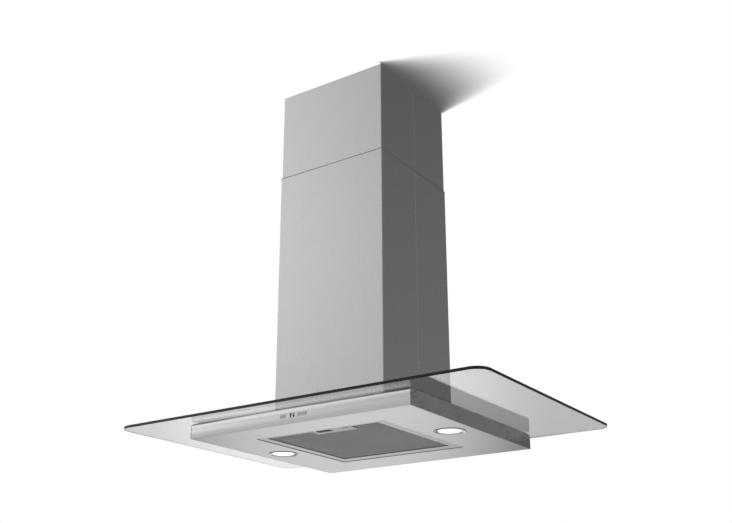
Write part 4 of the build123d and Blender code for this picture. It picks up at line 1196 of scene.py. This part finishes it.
@dataclass
class Studio:
    """White surroundings with soft sources, a pale floor and the ceiling the hood hangs from."""

    shadow: CeilingShadow
    base: float = 0.17
    glows: tuple[Glow, ...] = (
        Glow((-0.80, -0.43, 0.42), 0.880, 0.99, 1.25),
        Glow((-0.62, -0.67, 0.45), 0.899, 0.994, 0.26),
        Glow((-0.20, -0.92, -0.42), 0.30, 0.87, 0.42),
        Glow((-0.56, 0.79, -0.26), 0.978, 0.9995, 0.92),
        Glow((-0.56, 0.72, -0.42), 0.707, 0.985, 0.16),
        Glow((0.42, 0.90, -0.05), 0.75, 0.98, 0.10),
        Glow((0.93, -0.20, -0.30), 0.50, 0.95, 0.50),
        Glow((0.10, -0.20, 0.97), 0.55, 0.98, 0.70),
        Glow((0.00, 0.30, -0.95), 0.40, 0.94, 0.55),
    )
    across: Point = (0.83, 0.56, 0.0)
    seen_through: tuple[float, float] = (1.0, 0.57)
    floor_drop: float = 2.3
    floor_half: float = 20.0
    floor_glow: float = 0.96
    ceiling_rise: float = 0.2 * MM
    ceiling_half: float = 0.9

    def build(self) -> None:
        """Set up the surroundings, the pale floor far below and the ceiling."""
        self._world()
        self._sheet("studio_floor", self.floor_half, -self.floor_drop, self.floor_glow)
        self._ceiling()

    def _world(self) -> None:
        """White to the eye and through glass; soft sources on grey for all else."""
        world = bpy.data.worlds.new("surroundings")
        bpy.context.scene.world = world
        world.use_nodes = True
        world.node_tree.nodes.clear()
        graph = Graph(world.node_tree)
        direction = graph.add("TexCoord").outputs["Generated"]
        total: Socket | float = self.base
        for glow in self.glows:
            along = graph.vectors("DOT_PRODUCT", direction, Vector(glow.direction).normalized())["Value"]
            share = graph.ramp(along, (glow.start, glow.full), (0.0, glow.strength), True)
            total = graph.maths("ADD", share, total)
        behind = graph.vectors("DOT_PRODUCT", direction, Vector(self.across).normalized())["Value"]
        tint = graph.ramp(behind, (-0.15, 0.15), self.seen_through)
        path = graph.add("LightPath").outputs
        camera = path["Is Camera Ray"]
        mirrored = graph.maths("MINIMUM", path["Glossy Depth"], 1.0)
        through = graph.maths("GREATER_THAN", path["Is Transmission Ray"], mirrored)
        soft = graph.add("Background", {"Strength": total})
        white = graph.add("Background", {"Color": (1.0, 1.0, 1.0), "Strength": graph.maths("MAXIMUM", tint, camera)})
        graph.mix(graph.maths("MAXIMUM", camera, through), soft, white, graph.add("OutputWorld"))

    def _sheet(self, name: str, half: float, height: float, glow: float) -> tuple[Thing, Coat]:
        """A pale stage plane that isn't mirrored in the hood.

        Args:
            name: its name.
            half: half its side.
            height: its z.
            glow: light of its own.

        Returns:
            The plane and its material's nodes.
        """
        only()
        bpy.ops.mesh.primitive_plane_add(size=2 * half, location=(0.0, 0.0, height))
        plane = named(name)
        plane.visible_glossy = plane.visible_diffuse = False
        coat = Coat(name, (0.85, 0.85, 0.85))
        coat.put(Roughness=1.0, Specular_IOR_Level=0.0, Emission_Color=(1.0, 1.0, 1.0), Emission_Strength=glow)
        plane.data.materials.append(coat.material)
        return plane, coat

    def _ceiling(self) -> None:
        """White ceiling that only shows from below, with the flue's soft shadow on it."""
        plane, coat = self._sheet("studio_ceiling", self.ceiling_half, self.ceiling_rise, 1.0)
        edit_faces(plane, everywhere, bpy.ops.mesh.flip_normals)
        black = (0.0, 0.0, 0.0)
        coat.put(Base_Color=black, Emission_Color=coat.blend(self.shadow.shade(coat), (1.0, 1.0, 1.0), black))
        above = coat.add("NewGeometry").outputs["Backfacing"]
        coat.mix(above, coat.shader, coat.add("BsdfTransparent"), coat.tree.nodes["Material Output"])


@dataclass
class ViewCamera:
    """Camera in front to the right of the hood, a little below it, looking up."""

    place: Point = (1.2389, -1.8357, -1.2832)
    turn: float = 33.924
    lift: float = 20.089
    roll: float = -0.107
    lens: float = 50.34
    shift: float = 0.035

    def build(self) -> None:
        """Make the camera and use it."""
        data = bpy.data.cameras.new("view")
        data.sensor_width = 36.0
        data.lens = self.lens
        data.shift_y = self.shift
        camera = bpy.data.objects.new("view", data)
        bpy.context.scene.collection.objects.link(camera)
        turned = Matrix.Rotation(math.radians(self.turn), 4, "Z")
        lifted = Matrix.Rotation(math.radians(90.0 + self.lift), 4, "X")
        rolled = Matrix.Rotation(math.radians(self.roll), 4, "Z")
        camera.matrix_world = Matrix.Translation(self.place) @ turned @ lifted @ rolled
        bpy.context.scene.camera = camera
        bpy.context.scene.view_settings.view_transform = "Standard"


def middle(node: str) -> Point:
    """Middle of a CAD node's box."""
    low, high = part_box(node)
    return tuple((low + high) / 2)


def main() -> None:
    """Load the frame, dress it, add the fine parts and set the studio."""
    logging.basicConfig(level=logging.INFO, format="%(name)s: %(message)s")
    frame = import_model()
    bpy.context.view_layer.update()
    ViewCamera().build()
    fascia_low, fascia_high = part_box("front_fascia")
    crown = Crown((fascia_low.z + fascia_high.z) / 2, (fascia_high.z - fascia_low.z) / 2, 1.3 * MM)
    shop = Workshop([middle("lamp_lens_left"), middle("lamp_lens_right")], crown)
    dressed = 0
    for assembly in (Flue(shop), Body(shop), Blower(shop), Lamps(shop), GreaseFilter(shop), Controls(shop)):
        dressed += assembly.dress(frame["nodes"])
        assembly.build()
    LOG.info("dressed %d of %d nodes", dressed, len(frame["nodes"]))
    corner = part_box("upper_flue_rear")[1]
    Studio(CeilingShadow(corner.x, corner.y)).build()


if __name__ == "__main__":
    main()
